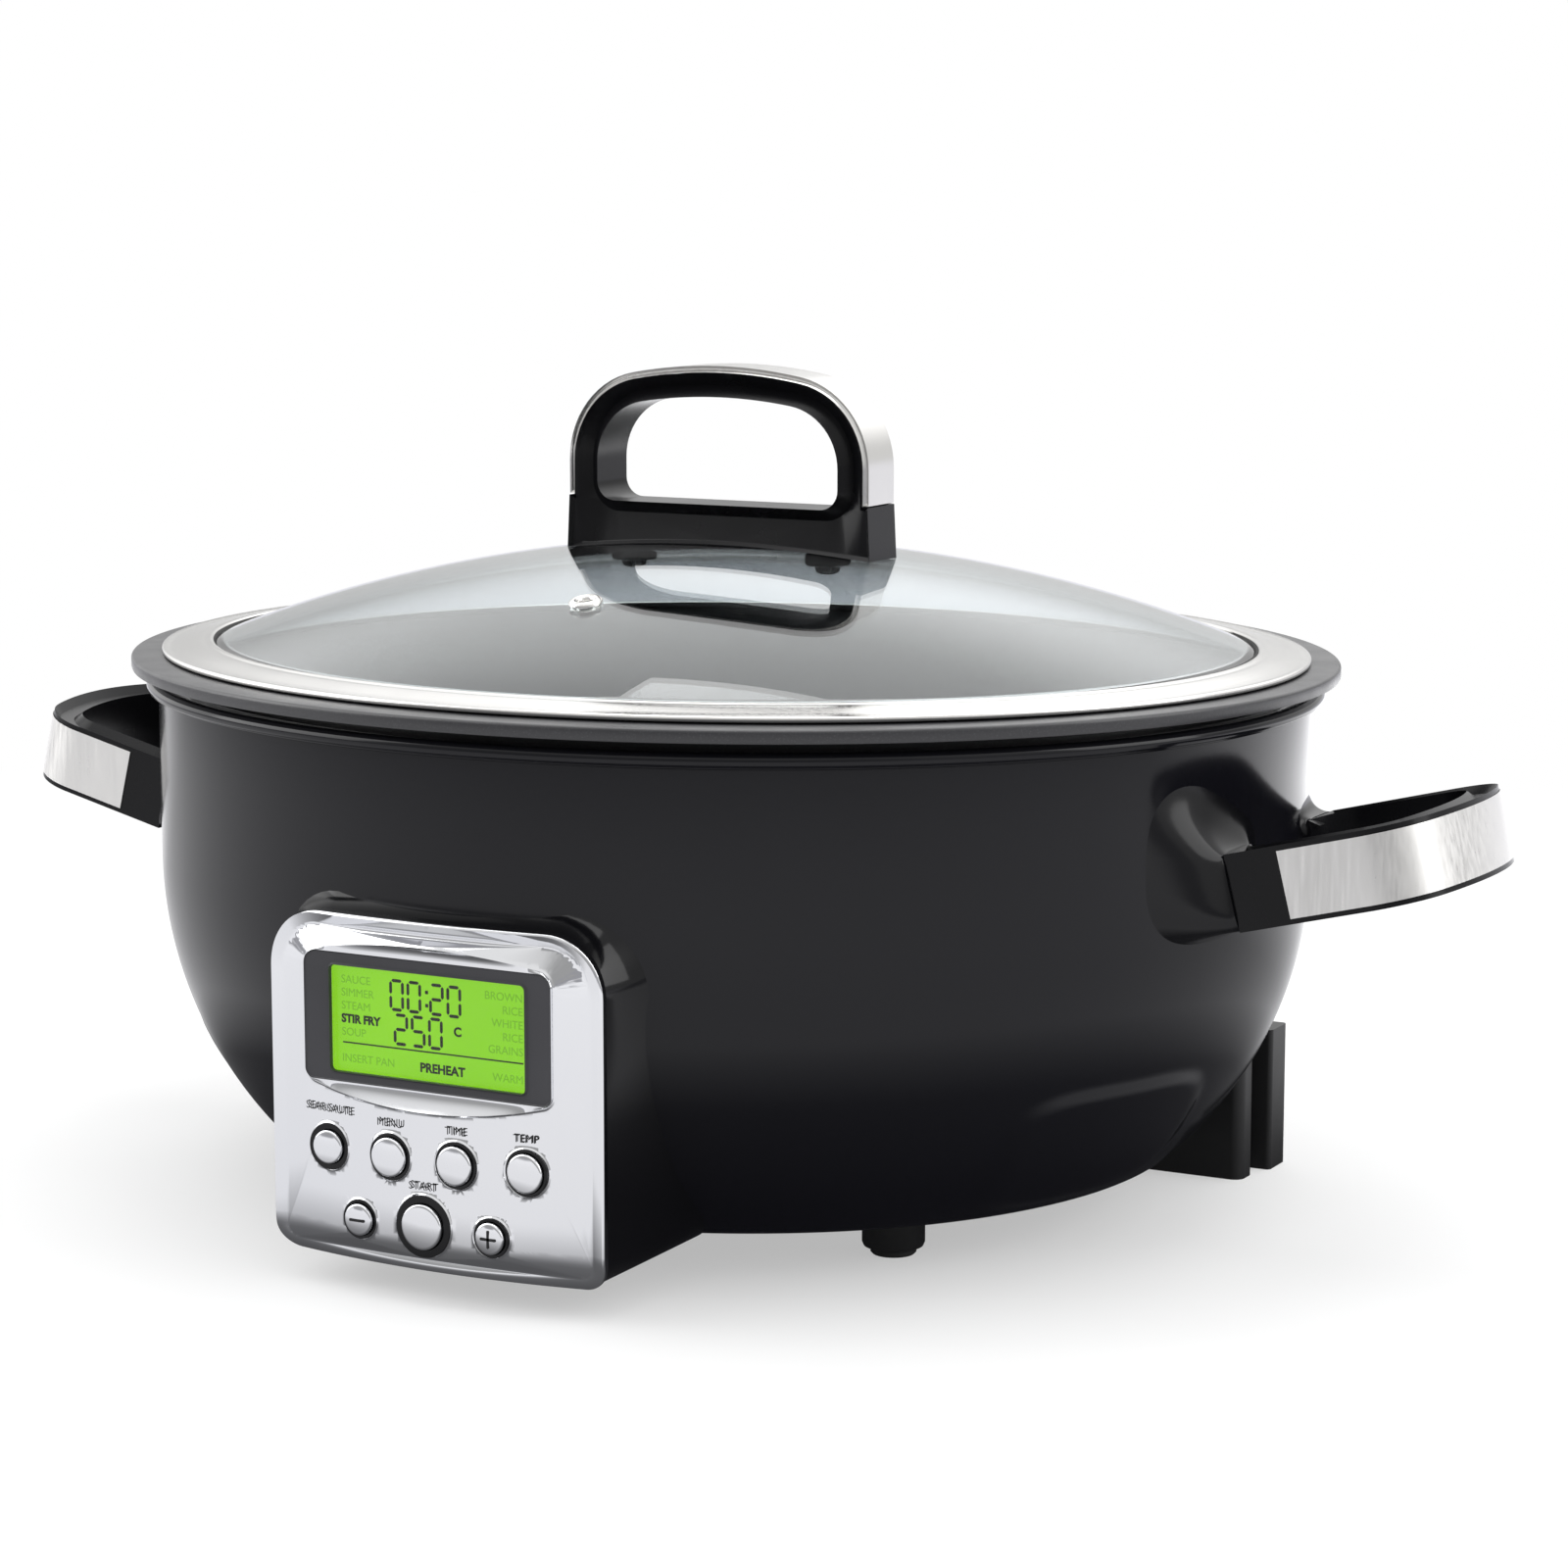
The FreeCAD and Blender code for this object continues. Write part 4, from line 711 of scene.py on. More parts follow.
def make_lid_handle():
    deep = HANDLE_HIGH.y - HANDLE_LOW.y
    half, low, corner = 42 * MM, 210.5 * MM, 6 * MM
    window = (hoop(half, 243.5 * MM, 19 * MM, 170 * MM)
              + arc((corner - half, low + corner), corner, 180, 270, 8)
              + arc((half - corner, low + corner), corner, 270, 360, 8))
    loops = [(grown(ARCH, -0.15 * MM) + handle_foot(), 1.3 * MM), (window[::-1], 3.6 * MM)]
    body = front_plate("lid_handle_body", loops, deep, AXIS_Y - deep / 2, 6)
    add_piece(body, "phenolic", "lid", ["lid_handle"], even=True)
    wide, end = deep - 1.2 * MM, SHOULDER + 0.2 * MM
    inside, outside = ARCH[0], ARCH[0] + BAND_THICK
    outline = (grown(ARCH, BAND_THICK) + [(-outside, end), (-inside, end)]
               + grown(ARCH, 0)[::-1] + [(inside, end), (outside, end)])
    band = front_plate("lid_handle_band_skin", [(outline, 0.9 * MM)], wide, AXIS_Y - wide / 2, 6)
    add_piece(band, "polished_steel", "lid", ["lid_handle_band"], crease=50, even=True)


def make_lid_screws():
    """Pan-head screws and their rubber seals under the glass."""
    low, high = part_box("lid_screws")
    head_radius = 4 * MM
    screw_x = (high.x - low.x) / 2 - head_radius
    spot = Vector((screw_x, AXIS_Y, dome_level(screw_x, drop=GLASS_THICK)))
    seal = mm([(0.4, -2.6), (6.4, -2.6), (7.0, -2.0), (7.0, -0.6), (6.6, 0.1), (0.4, 0.1)])
    head = mm([(0.3, -5.0), (2.2, -4.9), (3.4, -4.3), (4.0, -3.3), (4.0, -2.65), (0.3, -2.6)])
    add_piece(turned_pair("handle_seal_rings", seal, spot), "rubber", "lid", ["handle_seals"])
    add_piece(turned_pair("lid_screw_heads", head, spot), "screw_steel", "lid", ["lid_screws"])


# -------------------------------- side handles


GRIP_PIVOT, GRIP_LEVEL, GRIP_TILT = 200 * MM, 115 * MM, math.radians(14)
GRIP = (44 * MM, 47 * MM, 20 * MM, 100 * MM)
GRIP_TALL, GRIP_ROOT, GRIP_ARM, GRIP_HEEL = 22.6 * MM, -15.2 * MM, 9.5 * MM, 12 * MM


def grip_place(side):
    """From the grip's own plan, X across and Y outwards, to its place on the cooker."""
    turn = Matrix.Rotation(-math.pi / 2 if side > 0 else math.pi / 2, 4, "Z")
    tilt = Matrix.Rotation(-side * GRIP_TILT, 4, "Y")
    return Matrix.Translation((side * GRIP_PIVOT, AXIS_Y, GRIP_LEVEL)) @ tilt @ turn


def grip_loop(inset_by, root):
    """The outer edge of a grip in plan, from one root over the outer end to the other."""
    path = grown(GRIP, -inset_by)
    return [(path[0][0], root)] + path + [(path[-1][0], root)]


def make_grips():
    inner_half = GRIP[0] - GRIP_ARM
    heel = arc((inner_half - GRIP_HEEL, GRIP_ROOT + GRIP_HEEL), GRIP_HEEL, 0, -88, 12)
    heel.append((heel[-1][0], GRIP_ROOT))
    bay = [(-x, y) for x, y in heel[::-1]]
    outline = grip_loop(0.3 * MM, GRIP_ROOT) + bay + grown(GRIP, -GRIP_ARM)[::-1] + heel
    thick, end, wide = 1.5 * MM, 0.8 * MM, 19.5 * MM
    strap_edge = grip_loop(0, end) + grip_loop(thick, end)[::-1]
    for side, word in ((-1, "left"), (1, "right")):
        body = plate(f"{word}_grip", [(outline, 2.4 * MM)], GRIP_TALL, 6)
        body.transform(grip_place(side))
        add_piece(body, "phenolic", "base", [f"{word}_side_handle"], even=True)
        strap = plate(f"{word}_strap", [(strap_edge, 0.35 * MM)], wide, 3)
        strap.transform(grip_place(side))
        add_piece(strap, "polished_steel", "base", [f"{word}_handle_strap"], "strap_steel", 50,
                  True)


def squircle(angle, wide, tall, power):
    """A point of a rounded rectangle's outline at an angle."""
    across, up = math.cos(angle), math.sin(angle)
    return (wide * math.copysign(abs(across) ** (2 / power), across),
            tall * math.copysign(abs(up) ** (2 / power), up))


def root_plane(level):
    """Half length of the plane on which a tilted grip's root meets its boss, at a height."""
    middle = GRIP_PIVOT + GRIP_ROOT * math.cos(GRIP_TILT)
    rise = level - GRIP_LEVEL - GRIP_ROOT * math.sin(GRIP_TILT)
    return middle - math.tan(GRIP_TILT) * rise


# millimetres: place from the middle, level, half width and half height of a boss at its
# grip, and how much each grows towards the shell
BOSS = ((33.4, 5), (111.3, 9.5), (11.3, 15), (11.2, 14))
BOSS_CORNERS = (6.0, 2.8)


def boss_ring(side, end, share):
    """One ring of a boss, from the grip's root at share 0 to the shell at share 1."""
    flare, hollow = (share ** 1.3, 1.35) if end < 0 else (0.35 * share ** 1.8, 2.2)
    apart, level, wide, tall = ((size + growth * flare) * MM for size, growth in BOSS)
    power = BOSS_CORNERS[0] + (BOSS_CORNERS[1] - BOSS_CORNERS[0]) * share
    ring = []
    for step in range(96):
        across, up = squircle(2 * math.pi * step / 96, wide, tall, power)
        y, z = AXIS_Y + end * apart + across, level + up
        wall = shell_x(y, z) - 0.25 * MM
        away = (root_plane(z) - 0.1 * MM - wall) * (1 - share) ** hollow
        ring.append(Vector((side * (wall + away), y, z)))
    return ring


def make_bosses():
    steps = 28
    for side, word in ((-1, "left"), (1, "right")):
        horns = [ring_mesh("horn", [boss_ring(side, end, step / steps)
                                    for step in range(steps + 1)], capped=True)
                 for end in (-1, 1)]
        add_piece(joined(f"{word}_grip_bosses", horns), "phenolic", "base",
                  [f"{word}_handle_bosses"], "gloss_black", 50)


# -------------------------------- control pod


def pod_outline(grow_side, grow_low, grow_top, rounds):
    return rounded_box(POD_HALF + grow_side, POD_LOW.z + grow_low, POD_HIGH.z + grow_top, *rounds)


def make_housing():
    """The pod's case: it leaves the bezel straight and flares out to meet the bowl."""
    front = pod_outline(-0.5 * MM, 0.5 * MM, -0.5 * MM, POD_CORNERS)
    back = pod_outline(6.0 * MM, 3.6 * MM, 4.0 * MM, (9 * MM, 22 * MM))
    lining = pod_outline(-4 * MM, 4 * MM, -4 * MM, (5 * MM, 13 * MM))
    steps, spread, straight, embedded = 24, 0.3, 0.62, 0.3 * MM
    rings = [[Vector((x, POD_HIGH.y, z)) for x, z in lining]]
    for share in (step / steps for step in range(steps + 1)):
        ring = []
        for (x, z), (far_x, far_z) in zip(front, back):
            first = Vector((x, POD_HIGH.y, z))
            last = Vector((far_x, shell_front(far_x, far_z) + embedded, far_z))
            bend = first.lerp(last, spread)
            bend.y = first.y + straight * (last.y - first.y)
            ring.append(first * (1 - share) ** 2 + bend * (2 * share * (1 - share))
                        + last * share ** 2)
        rings.append(ring)
    add_piece(ring_mesh("pod_case", rings), "gloss_black", "base", ["pod_housing"], crease=60)


# name, sideways place, height, radius and ring thickness, in millimetres
LAYOUT = (("sear", -32.4, 41.6, 6.3, 1.3), ("menu", -10.8, 41.6, 6.3, 0.55),
          ("time", 10.8, 41.6, 6.3, 0.55), ("temp", 32.4, 41.6, 6.3, 0.55),
          ("minus", -21.6, 22.2, 5.25, 0.55), ("start", 0.0, 23.0, 8.5, 1.8),
          ("plus", 21.6, 22.2, 5.25, 0.55))
KEYS = [(name, *(size * MM for size in sizes)) for name, *sizes in LAYOUT]
FRAME_LOW, FRAME_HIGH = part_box("display_frame")


def face_y(x, z):
    """The front surface of the bezel."""
    return -POD_FACE + bow(x) + roll(z)


WINDOW = rounded_box(FRAME_HIGH.x + 0.1 * MM, FRAME_LOW.z - 0.1 * MM, FRAME_HIGH.z + 0.1 * MM,
                     3 * MM, 4 * MM)
DISPLAY_FRONT = -POD_FACE + 2.6 * MM
BULGE_ABOVE, BULGE_BELOW, WIDER = 4.2 * MM, 5.4 * MM, 1.004


def bulged(points):
    """The window's outline with its upper and lower edges bulged, most at the middle."""
    middle, half = (FRAME_LOW.z + FRAME_HIGH.z) / 2, FRAME_HIGH.x + 0.1 * MM
    moved = []
    for x, z in points:
        share = max(0.0, 1 - (x / half) ** 2)
        moved.append((x * WIDER, z + (BULGE_ABOVE if z > middle else -BULGE_BELOW) * share))
    return moved


def divided(points, longest=2 * MM):
    """A closed outline with points added along its long straight runs."""
    result = []
    for number, here in enumerate(points):
        there = points[(number + 1) % len(points)]
        parts = max(1, math.ceil(math.dist(here, there) / longest))
        for part in range(parts):
            share = part / parts
            result.append((here[0] + (there[0] - here[0]) * share,
                           here[1] + (there[1] - here[1]) * share))
    return result


def make_window_slopes():
    """The crescents above and below the flat display, which fall from the bowed face to it."""
    straight = divided(WINDOW)
    outer = bulged(straight)
    rings = []
    for step in range(9):
        share = step / 8
        ease = math.sin(share * math.pi / 2)
        ring = []
        for (x, z), (far_x, far_z) in zip(outer, straight):
            here = (x + (far_x - x) * share, z + (far_z - z) * share)
            top = face_y(x, z) + 0.3 * MM
            ring.append(Vector((here[0], top + (DISPLAY_FRONT - top) * ease, here[1])))
        rings.append(ring)
    rings.append([point + Vector((0, 1.5 * MM, 0)) for point in rings[-1]])
    return ring_mesh("window_slopes", rings)


def make_bezel():
    """The chromed face: bowed across, rolled under at its foot, with a window and holes."""
    loops = [(rounded_box(POD_HALF, POD_LOW.z, POD_HIGH.z, *POD_CORNERS, steps=16), 3.6 * MM),
             (bulged(divided(WINDOW))[::-1], 0.6 * MM)]
    for _, x, z, radius, _ in KEYS:
        loops.append((circle((x, z), radius + 0.5 * MM)[::-1], 0.45 * MM))
    thick, slice_width = 9.4 * MM, 1.5 * MM
    mesh = front_plate("chromed_bezel", loops, thick, -POD_FACE, 8)
    mesh = sliced(mesh, 0, [step * slice_width for step in range(-35, 36)])
    mesh = sliced(mesh, 2, [POD_LOW.z + step * slice_width for step in range(1, 66)])
    mesh.update()
    normals = [bent_normal(vertex, thick) for vertex in mesh.vertices]
    for vertex in mesh.vertices:
        point = vertex.co
        point.y += frontness(point, thick) * (bow(point.x) + roll(point.z))
    add_piece(mesh, "chrome", "base", ["pod_bezel"])
    mesh.normals_split_custom_set_from_vertices(normals)
    add_piece(make_window_slopes(), "chrome", "base")


def frontness(point, thick):
    """1 on the face of a flat plate that is about to be bent, and 0 on its back."""
    return 1 - (point.y + POD_FACE) / thick


def bent_normal(vertex, thick):
    """The normal that a point of the flat plate has once the plate is bowed and rolled."""
    point, normal = vertex.co, vertex.normal
    if normal.y < -0.985:
        normal = Vector((0, -1, 0))
    near, step = frontness(point, thick), 0.01 * MM
    across = near * (bow(point.x + step) - bow(point.x - step)) / (2 * step)
    up = near * (roll(point.z + step) - roll(point.z - step)) / (2 * step)
    squeeze = 1 - (bow(point.x) + roll(point.z)) / thick
    return Vector((normal.x - across / squeeze * normal.y, normal.y / squeeze,
                   normal.z - up / squeeze * normal.y)).normalized()


def make_display():
    glow_low, glow_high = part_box("lcd_module")
    overlap, small = 1.2 * MM, 1.5 * MM
    opening = rounded_box(glow_high.x - overlap, glow_low.z + overlap, glow_high.z - overlap,
                          small, small)
    outer = rounded_box(FRAME_HIGH.x, FRAME_LOW.z, FRAME_HIGH.z, 3 * MM, 4 * MM)
    mesh = front_plate("display_surround", [(outer, 0.3 * MM), (opening[::-1], 0.6 * MM)],
                       2.4 * MM, DISPLAY_FRONT, 4)
    add_piece(mesh, "display_grey", "base", ["display_frame"], even=True)


def make_keys():
    """The chromed caps on their stems, and the black sleeves round them."""
    proud, hollow, edge, skirt, gap = 1.8 * MM, 0.35 * MM, 0.7 * MM, -4.4 * MM, 0.15 * MM
    sleeves = []
    for name, x, z, radius, ring in KEYS:
        start = Vector((x, -POD_FACE + bow(x), z))
        _, stem_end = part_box(f"button_{name}")
        stem = start.y - stem_end.y
        cap = radius - ring - gap
        flat, shoulder = cap - edge, proud - hollow - edge
        profile = [(0.3 * MM, stem), (1.8 * MM, stem), (1.8 * MM, skirt), (cap, skirt),
                   (cap, shoulder)]
        profile += arc((flat, shoulder), edge, 15, 75, 4)
        profile += [(flat * share, proud - hollow * share ** 2)
                    for share in (0.97, 0.85, 0.7, 0.5, 0.3, 0.12, 0.02)]
        add_piece(turned(f"key_cap_{name}", profile, start, FORWARD), "chrome", f"key_{name}",
                  [f"button_{name}"])
        inner, outer, back = cap + 0.12 * MM, radius + 0.42 * MM, -4 * MM
        lip = [(inner, back), (inner, -gap), (inner + 0.12 * MM, 0.1 * MM), (outer - gap, gap),
               (outer, 0.0), (outer, back)]
        sleeves.append(turned("sleeve", lip, start, FORWARD, closed=True))
    add_piece(joined("key_sleeves", sleeves), "black_plastic", "base", ["button_rings"],
              "gloss_black")


def make_signs():
    """The minus and plus signs on the two smaller buttons."""
    long_half, thin, proud = 2.6 * MM, 0.42 * MM, 1.82 * MM
    bar = rounded_box(long_half, -thin, thin, thin * 0.9, thin * 0.9, 4)
    bars = {"minus": [bar], "plus": [bar, [(up, -across) for across, up in bar]]}
    for name, x, z, _, _ in KEYS:
        meshes = [front_plate("bar", [([(x + across, z + up) for across, up in outline],
                                       0.02 * MM)], 0.3 * MM, -POD_FACE + bow(x) - proud, 2)
                  for outline in bars.get(name, ())]
        if meshes:
            add_piece(joined(f"sign_{name}", meshes), "component_black", f"key_{name}")


def words(name, text, tall, align="CENTER", weight=0.0):
    """A word as a flat mesh in the XY plane, its capitals `tall`."""
    curve = bpy.data.curves.new(name, "FONT")
    curve.body, curve.size, curve.align_x = text, tall * 1.38, align
    curve.offset = weight
    curve.extrude = 0.02 * MM
    curve.resolution_u = 4
    holder = bpy.data.objects.new(name, curve)
    bpy.context.scene.collection.objects.link(holder)
    bpy.context.view_layer.update()
    evaluated = holder.evaluated_get(bpy.context.evaluated_depsgraph_get())
    mesh = bpy.data.meshes.new_from_object(evaluated)
    bpy.data.objects.remove(holder)
    return mesh


def make_labels():
    """The words over the buttons, laid on the bowed face."""
    tall, proud = 2.3 * MM, 0.012 * MM
    meshes = []
    for text, x, z in (("SEAR/SAUTE", -32.4, 51.6), ("MENU", -10.8, 50.2), ("TIME", 10.8, 50.2),
                       ("TEMP", 32.4, 50.2), ("START", 0.0, 33.4)):
        mesh = words("label", text, tall)
        mesh.transform(Matrix.Translation((x * MM, 0, z * MM)) @ FACING_FRONT)
        for vertex in mesh.vertices:
            vertex.co.y += face_y(vertex.co.x, vertex.co.z) - proud
        meshes.append(mesh)
    add_piece(joined("pod_labels", meshes), "component_black", "base")


LCD_LOW, LCD_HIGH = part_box("lcd_module")
LCD_HALF = LCD_HIGH.x - 2 * MM
LCD_TOP, LCD_FOOT = LCD_HIGH.z - 2 * MM, LCD_LOW.z + 2 * MM
LCD_FACE = LCD_LOW.y - 0.03 * MM


def on_display(across, down):
    """A place on the display: 0 to 1 from the left and 0 to 1 from the top."""
    return -LCD_HALF + 2 * LCD_HALF * across, LCD_TOP + (LCD_FOOT - LCD_TOP) * down


SEGMENT_ENDS = {"a": ((0, 2), (1, 2)), "b": ((1, 2), (1, 1)), "c": ((1, 1), (1, 0)),
                "d": ((0, 0), (1, 0)), "e": ((0, 1), (0, 0)), "f": ((0, 2), (0, 1)),
                "g": ((0, 1), (1, 1))}
DIGITS = {"0": "abcdef", "2": "abged", "5": "afgcd"}


def segment(corner, wide, tall, name, thick):
    """One bar of a seven-segment digit, with pointed ends."""
    (x0, y0), (x1, y1) = SEGMENT_ENDS[name]
    first = Vector((corner[0] + x0 * wide, corner[1] + y0 * tall / 2))
    last = Vector((corner[0] + x1 * wide, corner[1] + y1 * tall / 2))
    along = (last - first).normalized()
    aside = Vector((-along.y, along.x)) * thick / 2
    gap, tip = along * thick * 0.28, along * thick * 0.5
    return [first + gap, first + gap + tip - aside, last - gap - tip - aside, last - gap,
            last - gap - tip + aside, first + gap + tip + aside]


def digit_bars(text, corner, wide, tall, pitch, thick):
    """The dark bars of a row of digits."""
    bars = []
    for number, sign in enumerate(text):
        start = (corner[0] + pitch * number, corner[1])
        bars += [segment(start, wide, tall, name, thick) for name in DIGITS[sign]]
    return bars


def flat_shapes(name, shapes):
    """Thin plates for a set of flat outlines on the display."""
    meshes = [front_plate("bar", [([tuple(point) for point in shape], 0.004 * MM)], 0.03 * MM,
                          LCD_FACE, 1) for shape in shapes]
    return joined(name, meshes)


def display_words(name, rows, tall, align="LEFT", weight=0.0):
    meshes = []
    for text, across, down in rows:
        x, z = on_display(across, down)
        mesh = words("word", text, tall, align, weight)
        mesh.transform(Matrix.Translation((x, LCD_FACE, z)) @ FACING_FRONT)
        meshes.append(mesh)
    return joined(name, meshes)


NUMBERS = (("00", 0.295, 0.365), ("20", 0.505, 0.365), ("250", 0.315, 0.700))
COLON, COLON_DOTS = 0.485, (0.16, 0.29)
RULE = (0.035, 0.985, 0.745)
MARGINS = (0.03, 0.985)
LEFT_WORDS = (("SAUCE", 0.155), ("SIMMER", 0.285), ("STEAM", 0.415), ("SOUP", 0.675),
              ("INSERT PAN", 0.935))
RIGHT_WORDS = (("BROWN", 0.155), ("RICE", 0.285), ("WHITE", 0.415), ("RICE", 0.545),
               ("GRAINS", 0.675), ("WARM", 0.945))


def make_digits():
    """The lit time and temperature, and the rule below them."""
    wide, tall, thick, pitch = 3.9 * MM, 8.2 * MM, 0.92 * MM, 5.7 * MM
    dot, dot_round, rule = 0.5 * MM, 0.1 * MM, 0.22 * MM
    bars = []
    for text, across, down in NUMBERS:
        bars += digit_bars(text, on_display(across, down), wide, tall, pitch, thick)
    for down in COLON_DOTS:
        x, z = on_display(COLON, down)
        square = rounded_box(dot, z - dot, z + dot, dot_round, dot_round, 1)
        bars.append([(x + across, level) for across, level in square])
    left, z = on_display(RULE[0], RULE[2])
    right, _ = on_display(RULE[1], RULE[2])
    bars.append([(left, z - rule), (right, z - rule), (right, z + rule), (left, z + rule)])
    add_piece(flat_shapes("display_digits", bars), "component_black", "base")


def make_display_words():
    """The dark words for what the cooker is doing, and faint ones for what else it can do."""
    dark = [display_words("mode", [("STIR FRY", 0.03, 0.545)], 2.4 * MM, weight=0.00016),
            display_words("state", [("PREHEAT", 0.445, 0.945), ("C", 0.625, 0.555)], 2.6 * MM,
                          weight=0.00014)]
    add_piece(joined("display_words", dark), "component_black", "base")
    faint = [display_words(align, [(text, margin, down) for text, down in column], 2.35 * MM,
                           align)
             for align, margin, column in (("LEFT", MARGINS[0], LEFT_WORDS),
                                           ("RIGHT", MARGINS[1], RIGHT_WORDS))]
    add_piece(joined("display_faint_words", faint), "display_green", "base", material="display_ghost")


# -------------------------------- feet


def make_feet():
    low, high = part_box("front_feet")
    tread_low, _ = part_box("foot_treads")
    radius = (high.y - low.y) / 2
    spot = Vector((high.x - radius, (low.y + high.y) / 2, tread_low.z))
    wide, tread = radius / MM, radius / MM * 13.5 / 18.5
    collar = mm([(0.4, 2), (wide - 1.6, 2), (wide - 0.5, 2.5), (wide, 3.6), (wide, 12.6),
                 (0.4, 12.6)])
    pad = mm([(0.4, 0), (tread - 0.6, 0), (tread, 0.6), (tread, 2.2), (0.4, 2.2)])
    add_piece(turned_pair("foot_collars", collar, spot), "black_plastic", "base", ["front_feet"])
    add_piece(turned_pair("foot_pads", pad, spot), "rubber", "base", ["foot_treads"])


# -------------------------------- stage


def distance_from(tree, reach_x, reach_y):
    """How far a place is from the middle of the object, in units of an oval's two halves."""
    length = add_node(tree, "VectorMath")
    length.operation = "LENGTH"
    tree.links.new(place(tree, (1 / reach_x, 1 / reach_y, 0)), length.inputs[0])
    return length.outputs["Value"]


def glow(tree):
    return add_node(tree, "Emission", Color=(1, 1, 1, 1), Strength=1.0)


def mixed(tree, first, second):
    node = add_node(tree, "MixShader")
    tree.links.new(first, node.inputs[1])
    tree.links.new(second, node.inputs[2])
    return node


def make_floor():
    """A wide pale floor that fades into the backdrop's own white; close to the object it is already
    partly a white glow, painted light that lightens its shadow.
    In the object's gloss it shows a painted reflection: dark close by, near white further out, grey
    far away, and brighter towards the back."""
    mesh = bpy.data.meshes.new("floor")
    reach = 60.0
    corners = [(-reach, -reach, 0), (reach, -reach, 0), (reach, reach, 0), (-reach, reach, 0)]
    mesh.from_pydata(corners, [], [(0, 1, 2, 3)])
    floor = bpy.data.objects.new("floor", mesh)
    bpy.context.scene.collection.objects.link(floor)
    material, tree, shader = fresh("floor_paper", (0.86, 0.86, 0.86), 0.9, Specular_IOR_Level=0.1)
    tinted(tree, noise(tree, 3), [(0.3, (0.87, 0.87, 0.87)), (0.7, (0.89, 0.89, 0.89))],
           shader.inputs["Base Color"])
    near = (0.19, 0.17)
    # painted light: even beside the object the floor is partly a white glow, which lightens the
    # object's shadow on it; further out it fades wholly into the backdrop's white
    glow_lightened_floor = mixed(tree, shader.outputs["BSDF"], glow(tree).outputs["Emission"])
    between(tree, distance_from(tree, *near), 0.46, 1.0, glow_lightened_floor.inputs["Fac"], 0.9, 5.0)
    # painted reflection: glossy rays see the floor as a glow whose colour is painted dark close to
    # the object, near white further out and grey far away, and whose strength grows towards the back
    painted_reflection = glow(tree)
    tinted(tree, distance_from(tree, *(10 * half for half in near)),
           [(0.08, (0.02, 0.02, 0.022)), (0.115, (0.14, 0.14, 0.145)), (0.155, (0.84, 0.84, 0.86)),
            (0.52, (0.95, 0.95, 0.97)), (0.85, (0.34, 0.34, 0.36))], painted_reflection.inputs["Color"])
    spot = add_node(tree, "SeparateXYZ")
    tree.links.new(place(tree), spot.inputs["Vector"])
    between(tree, spot.outputs["Y"], 1.0, 2.6, painted_reflection.inputs["Strength"], 0.25, 0.9)
    whole = mixed(tree, glow_lightened_floor.outputs["Shader"], painted_reflection.outputs["Emission"])
    tree.links.new(add_node(tree, "LightPath").outputs["Is Glossy Ray"], whole.inputs["Fac"])
    tree.links.new(whole.outputs["Shader"], tree.nodes["Material Output"].inputs["Surface"])
    mesh.materials.append(material)


def softbox(name, where, target, wide, tall, power):
    data = bpy.data.lights.new(name, "AREA")
    data.shape, data.size, data.size_y, data.energy = "RECTANGLE", wide, tall, power
    light = bpy.data.objects.new(name, data)
    light.location = where
    light.rotation_euler = (Vector(target) - Vector(where)).to_track_quat("-Z", "Y").to_euler()
    bpy.context.scene.collection.objects.link(light)


def combined(tree, operation, first, second):
    node = add_node(tree, "Math")
    node.operation = operation
    tree.links.new(first, node.inputs[0])
    tree.links.new(second, node.inputs[1])
    return node.outputs["Value"]


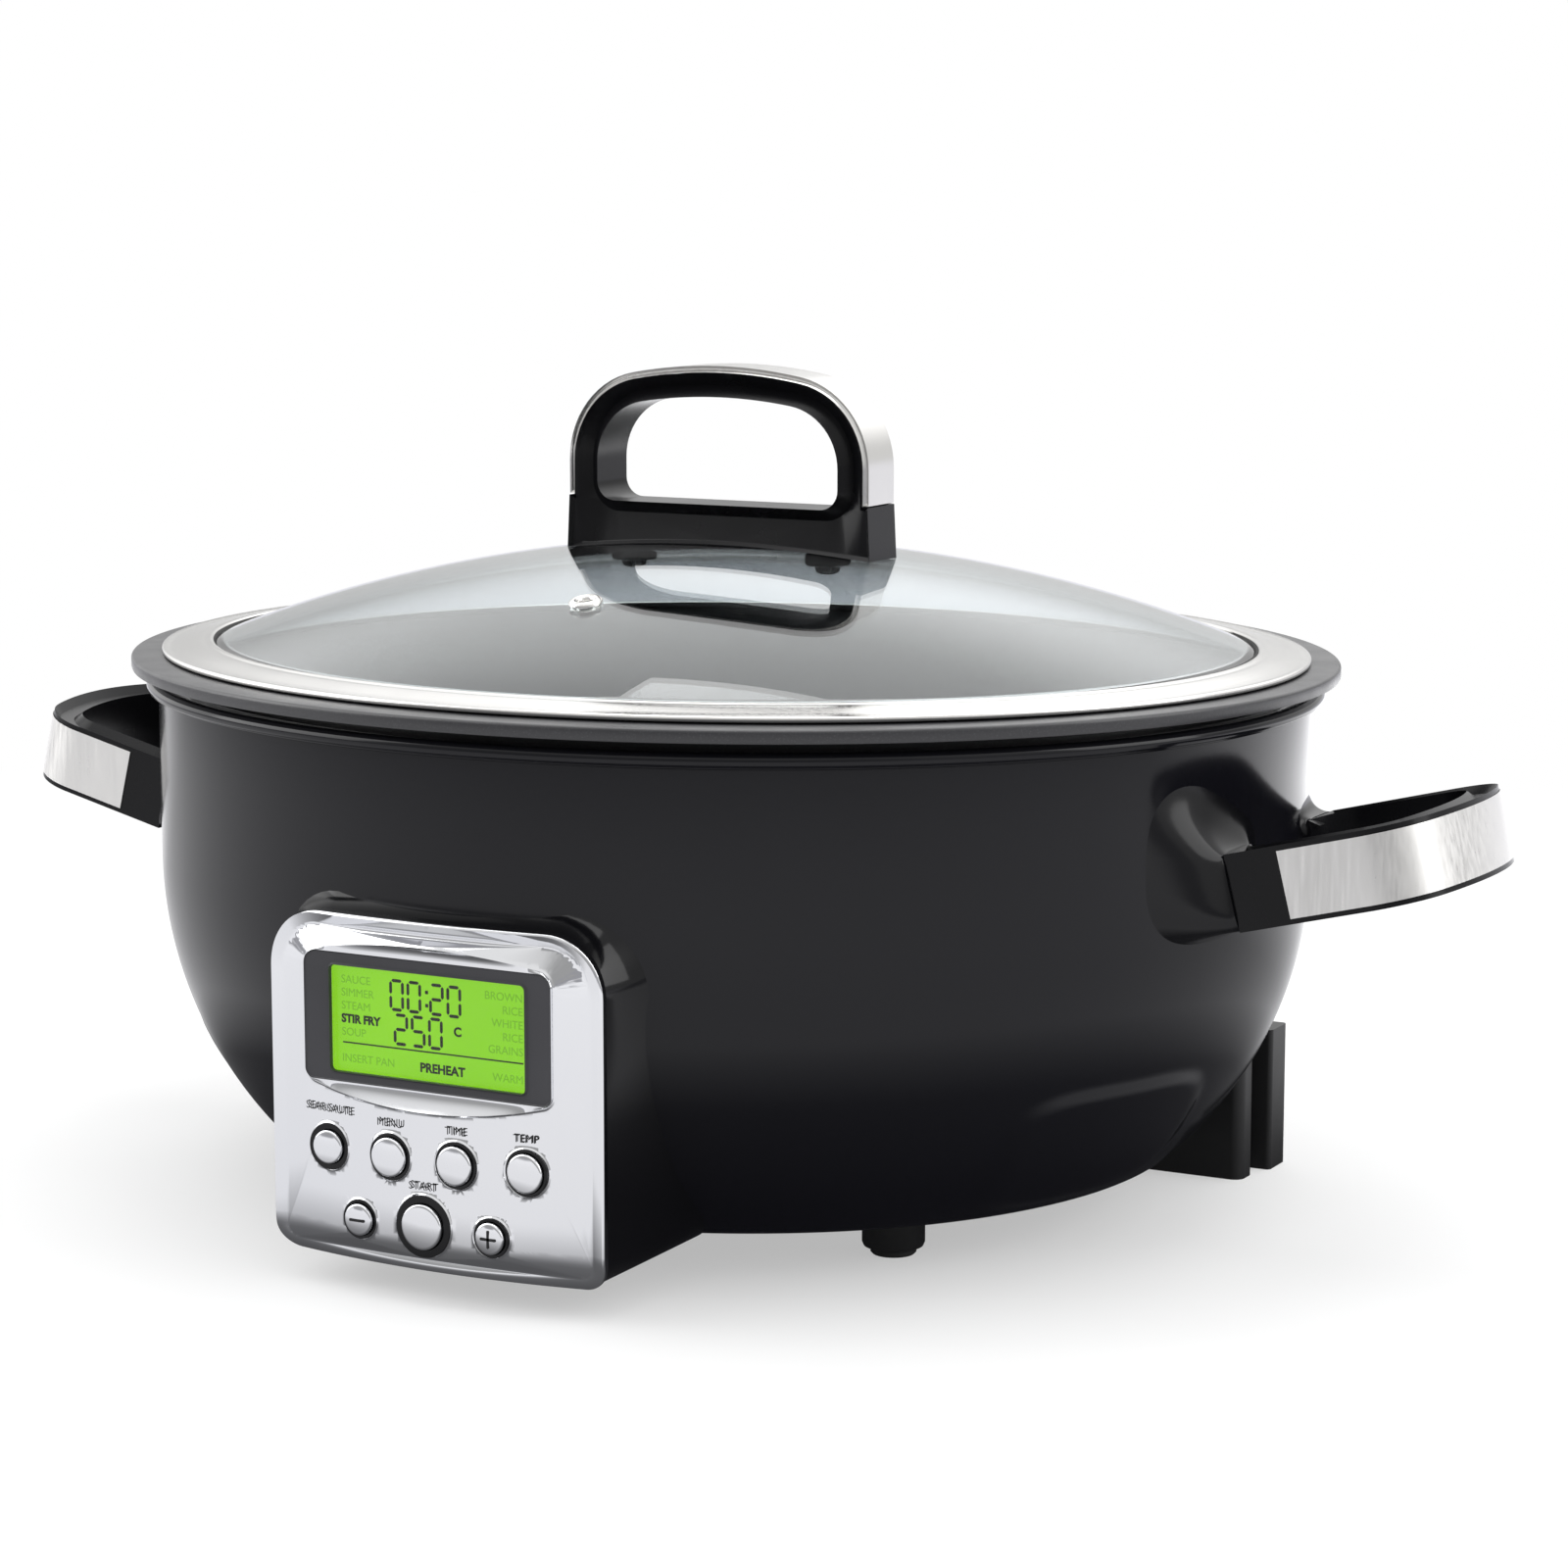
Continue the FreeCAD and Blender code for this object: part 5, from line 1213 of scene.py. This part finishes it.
def make_studio():
    """A white backdrop, which lights the object as a room does: dim in front, with bright
    walls at the sides and behind and a bright ceiling."""
    world = bpy.data.worlds.new("studio")
    bpy.context.scene.world = world
    world.use_nodes = True
    tree = world.node_tree
    backdrop = tree.nodes["Background"]
    backdrop.inputs["Color"].default_value = (1, 1, 1, 1)
    room = add_node(tree, "Background")
    split = add_node(tree, "SeparateXYZ")
    tree.links.new(add_node(tree, "TexCoord").outputs["Generated"], split.inputs["Vector"])

    def ramp(axis, start, end, amount):
        return remapped(tree, split.outputs[axis], start, end, 0, amount, "SMOOTHSTEP")

    bright = combined(tree, "MULTIPLY", ramp("Y", 0.3, 0.6, 1.0), ramp("Z", 0.12, 0.45, 0.7))
    for wall in (("X", 0.60, 0.95, 0.45), ("X", -0.55, -0.98, 1.3), ("Y", 0.70, 0.86, 0.45),
                 ("Z", 0.15, 0.65, 0.6), ("Z", -3.0, -2.0, 0.45)):
        bright = combined(tree, "ADD", bright, ramp(*wall))
    tree.links.new(bright, room.inputs["Strength"])
    whole = mixed(tree, room.outputs["Background"], backdrop.outputs["Background"])
    tree.links.new(add_node(tree, "LightPath").outputs["Is Camera Ray"], whole.inputs["Fac"])
    tree.links.new(whole.outputs["Shader"], tree.nodes["World Output"].inputs["Surface"])


def make_light():
    make_studio()
    softbox("left_softbox", (-1.3, -0.6, 0.9), (0, 0, 0.1), 1.2, 1.6, 10)
    softbox("right_softbox", (1.5, 0.3, 1.0), (0, 0, 0.1), 1.0, 1.6, 10)
    softbox("top_softbox", (0.0, 0.2, 1.8), (0, 0, 0.1), 1.6, 1.6, 16)


def make_camera():
    """The photograph's view: from the front right, a little above, with a long lens."""
    data = bpy.data.cameras.new("camera")
    data.lens, data.sensor_width = 93.4, 36.0
    camera = bpy.data.objects.new("camera", data)
    camera.location = (0.6053, -1.0967 + AXIS_Y, 0.3207)
    azimuth, pitch = math.radians(28.13), math.radians(8.98)
    camera.rotation_euler = (math.pi / 2 - pitch, 0, azimuth)
    bpy.context.scene.collection.objects.link(camera)
    bpy.context.scene.camera = camera


# -------------------------------- whole


for make in (make_shell, make_rim, make_pan, make_glass, make_lid_ring, make_gasket, make_vent,
             make_lid_handle, make_lid_screws, make_grips, make_bosses, make_housing, make_bezel,
             make_display, make_keys, make_signs, make_labels, make_digits, make_display_words,
             make_feet,
             make_floor, make_light, make_camera):
    make()

bpy.context.scene.view_settings.view_transform = "Standard"
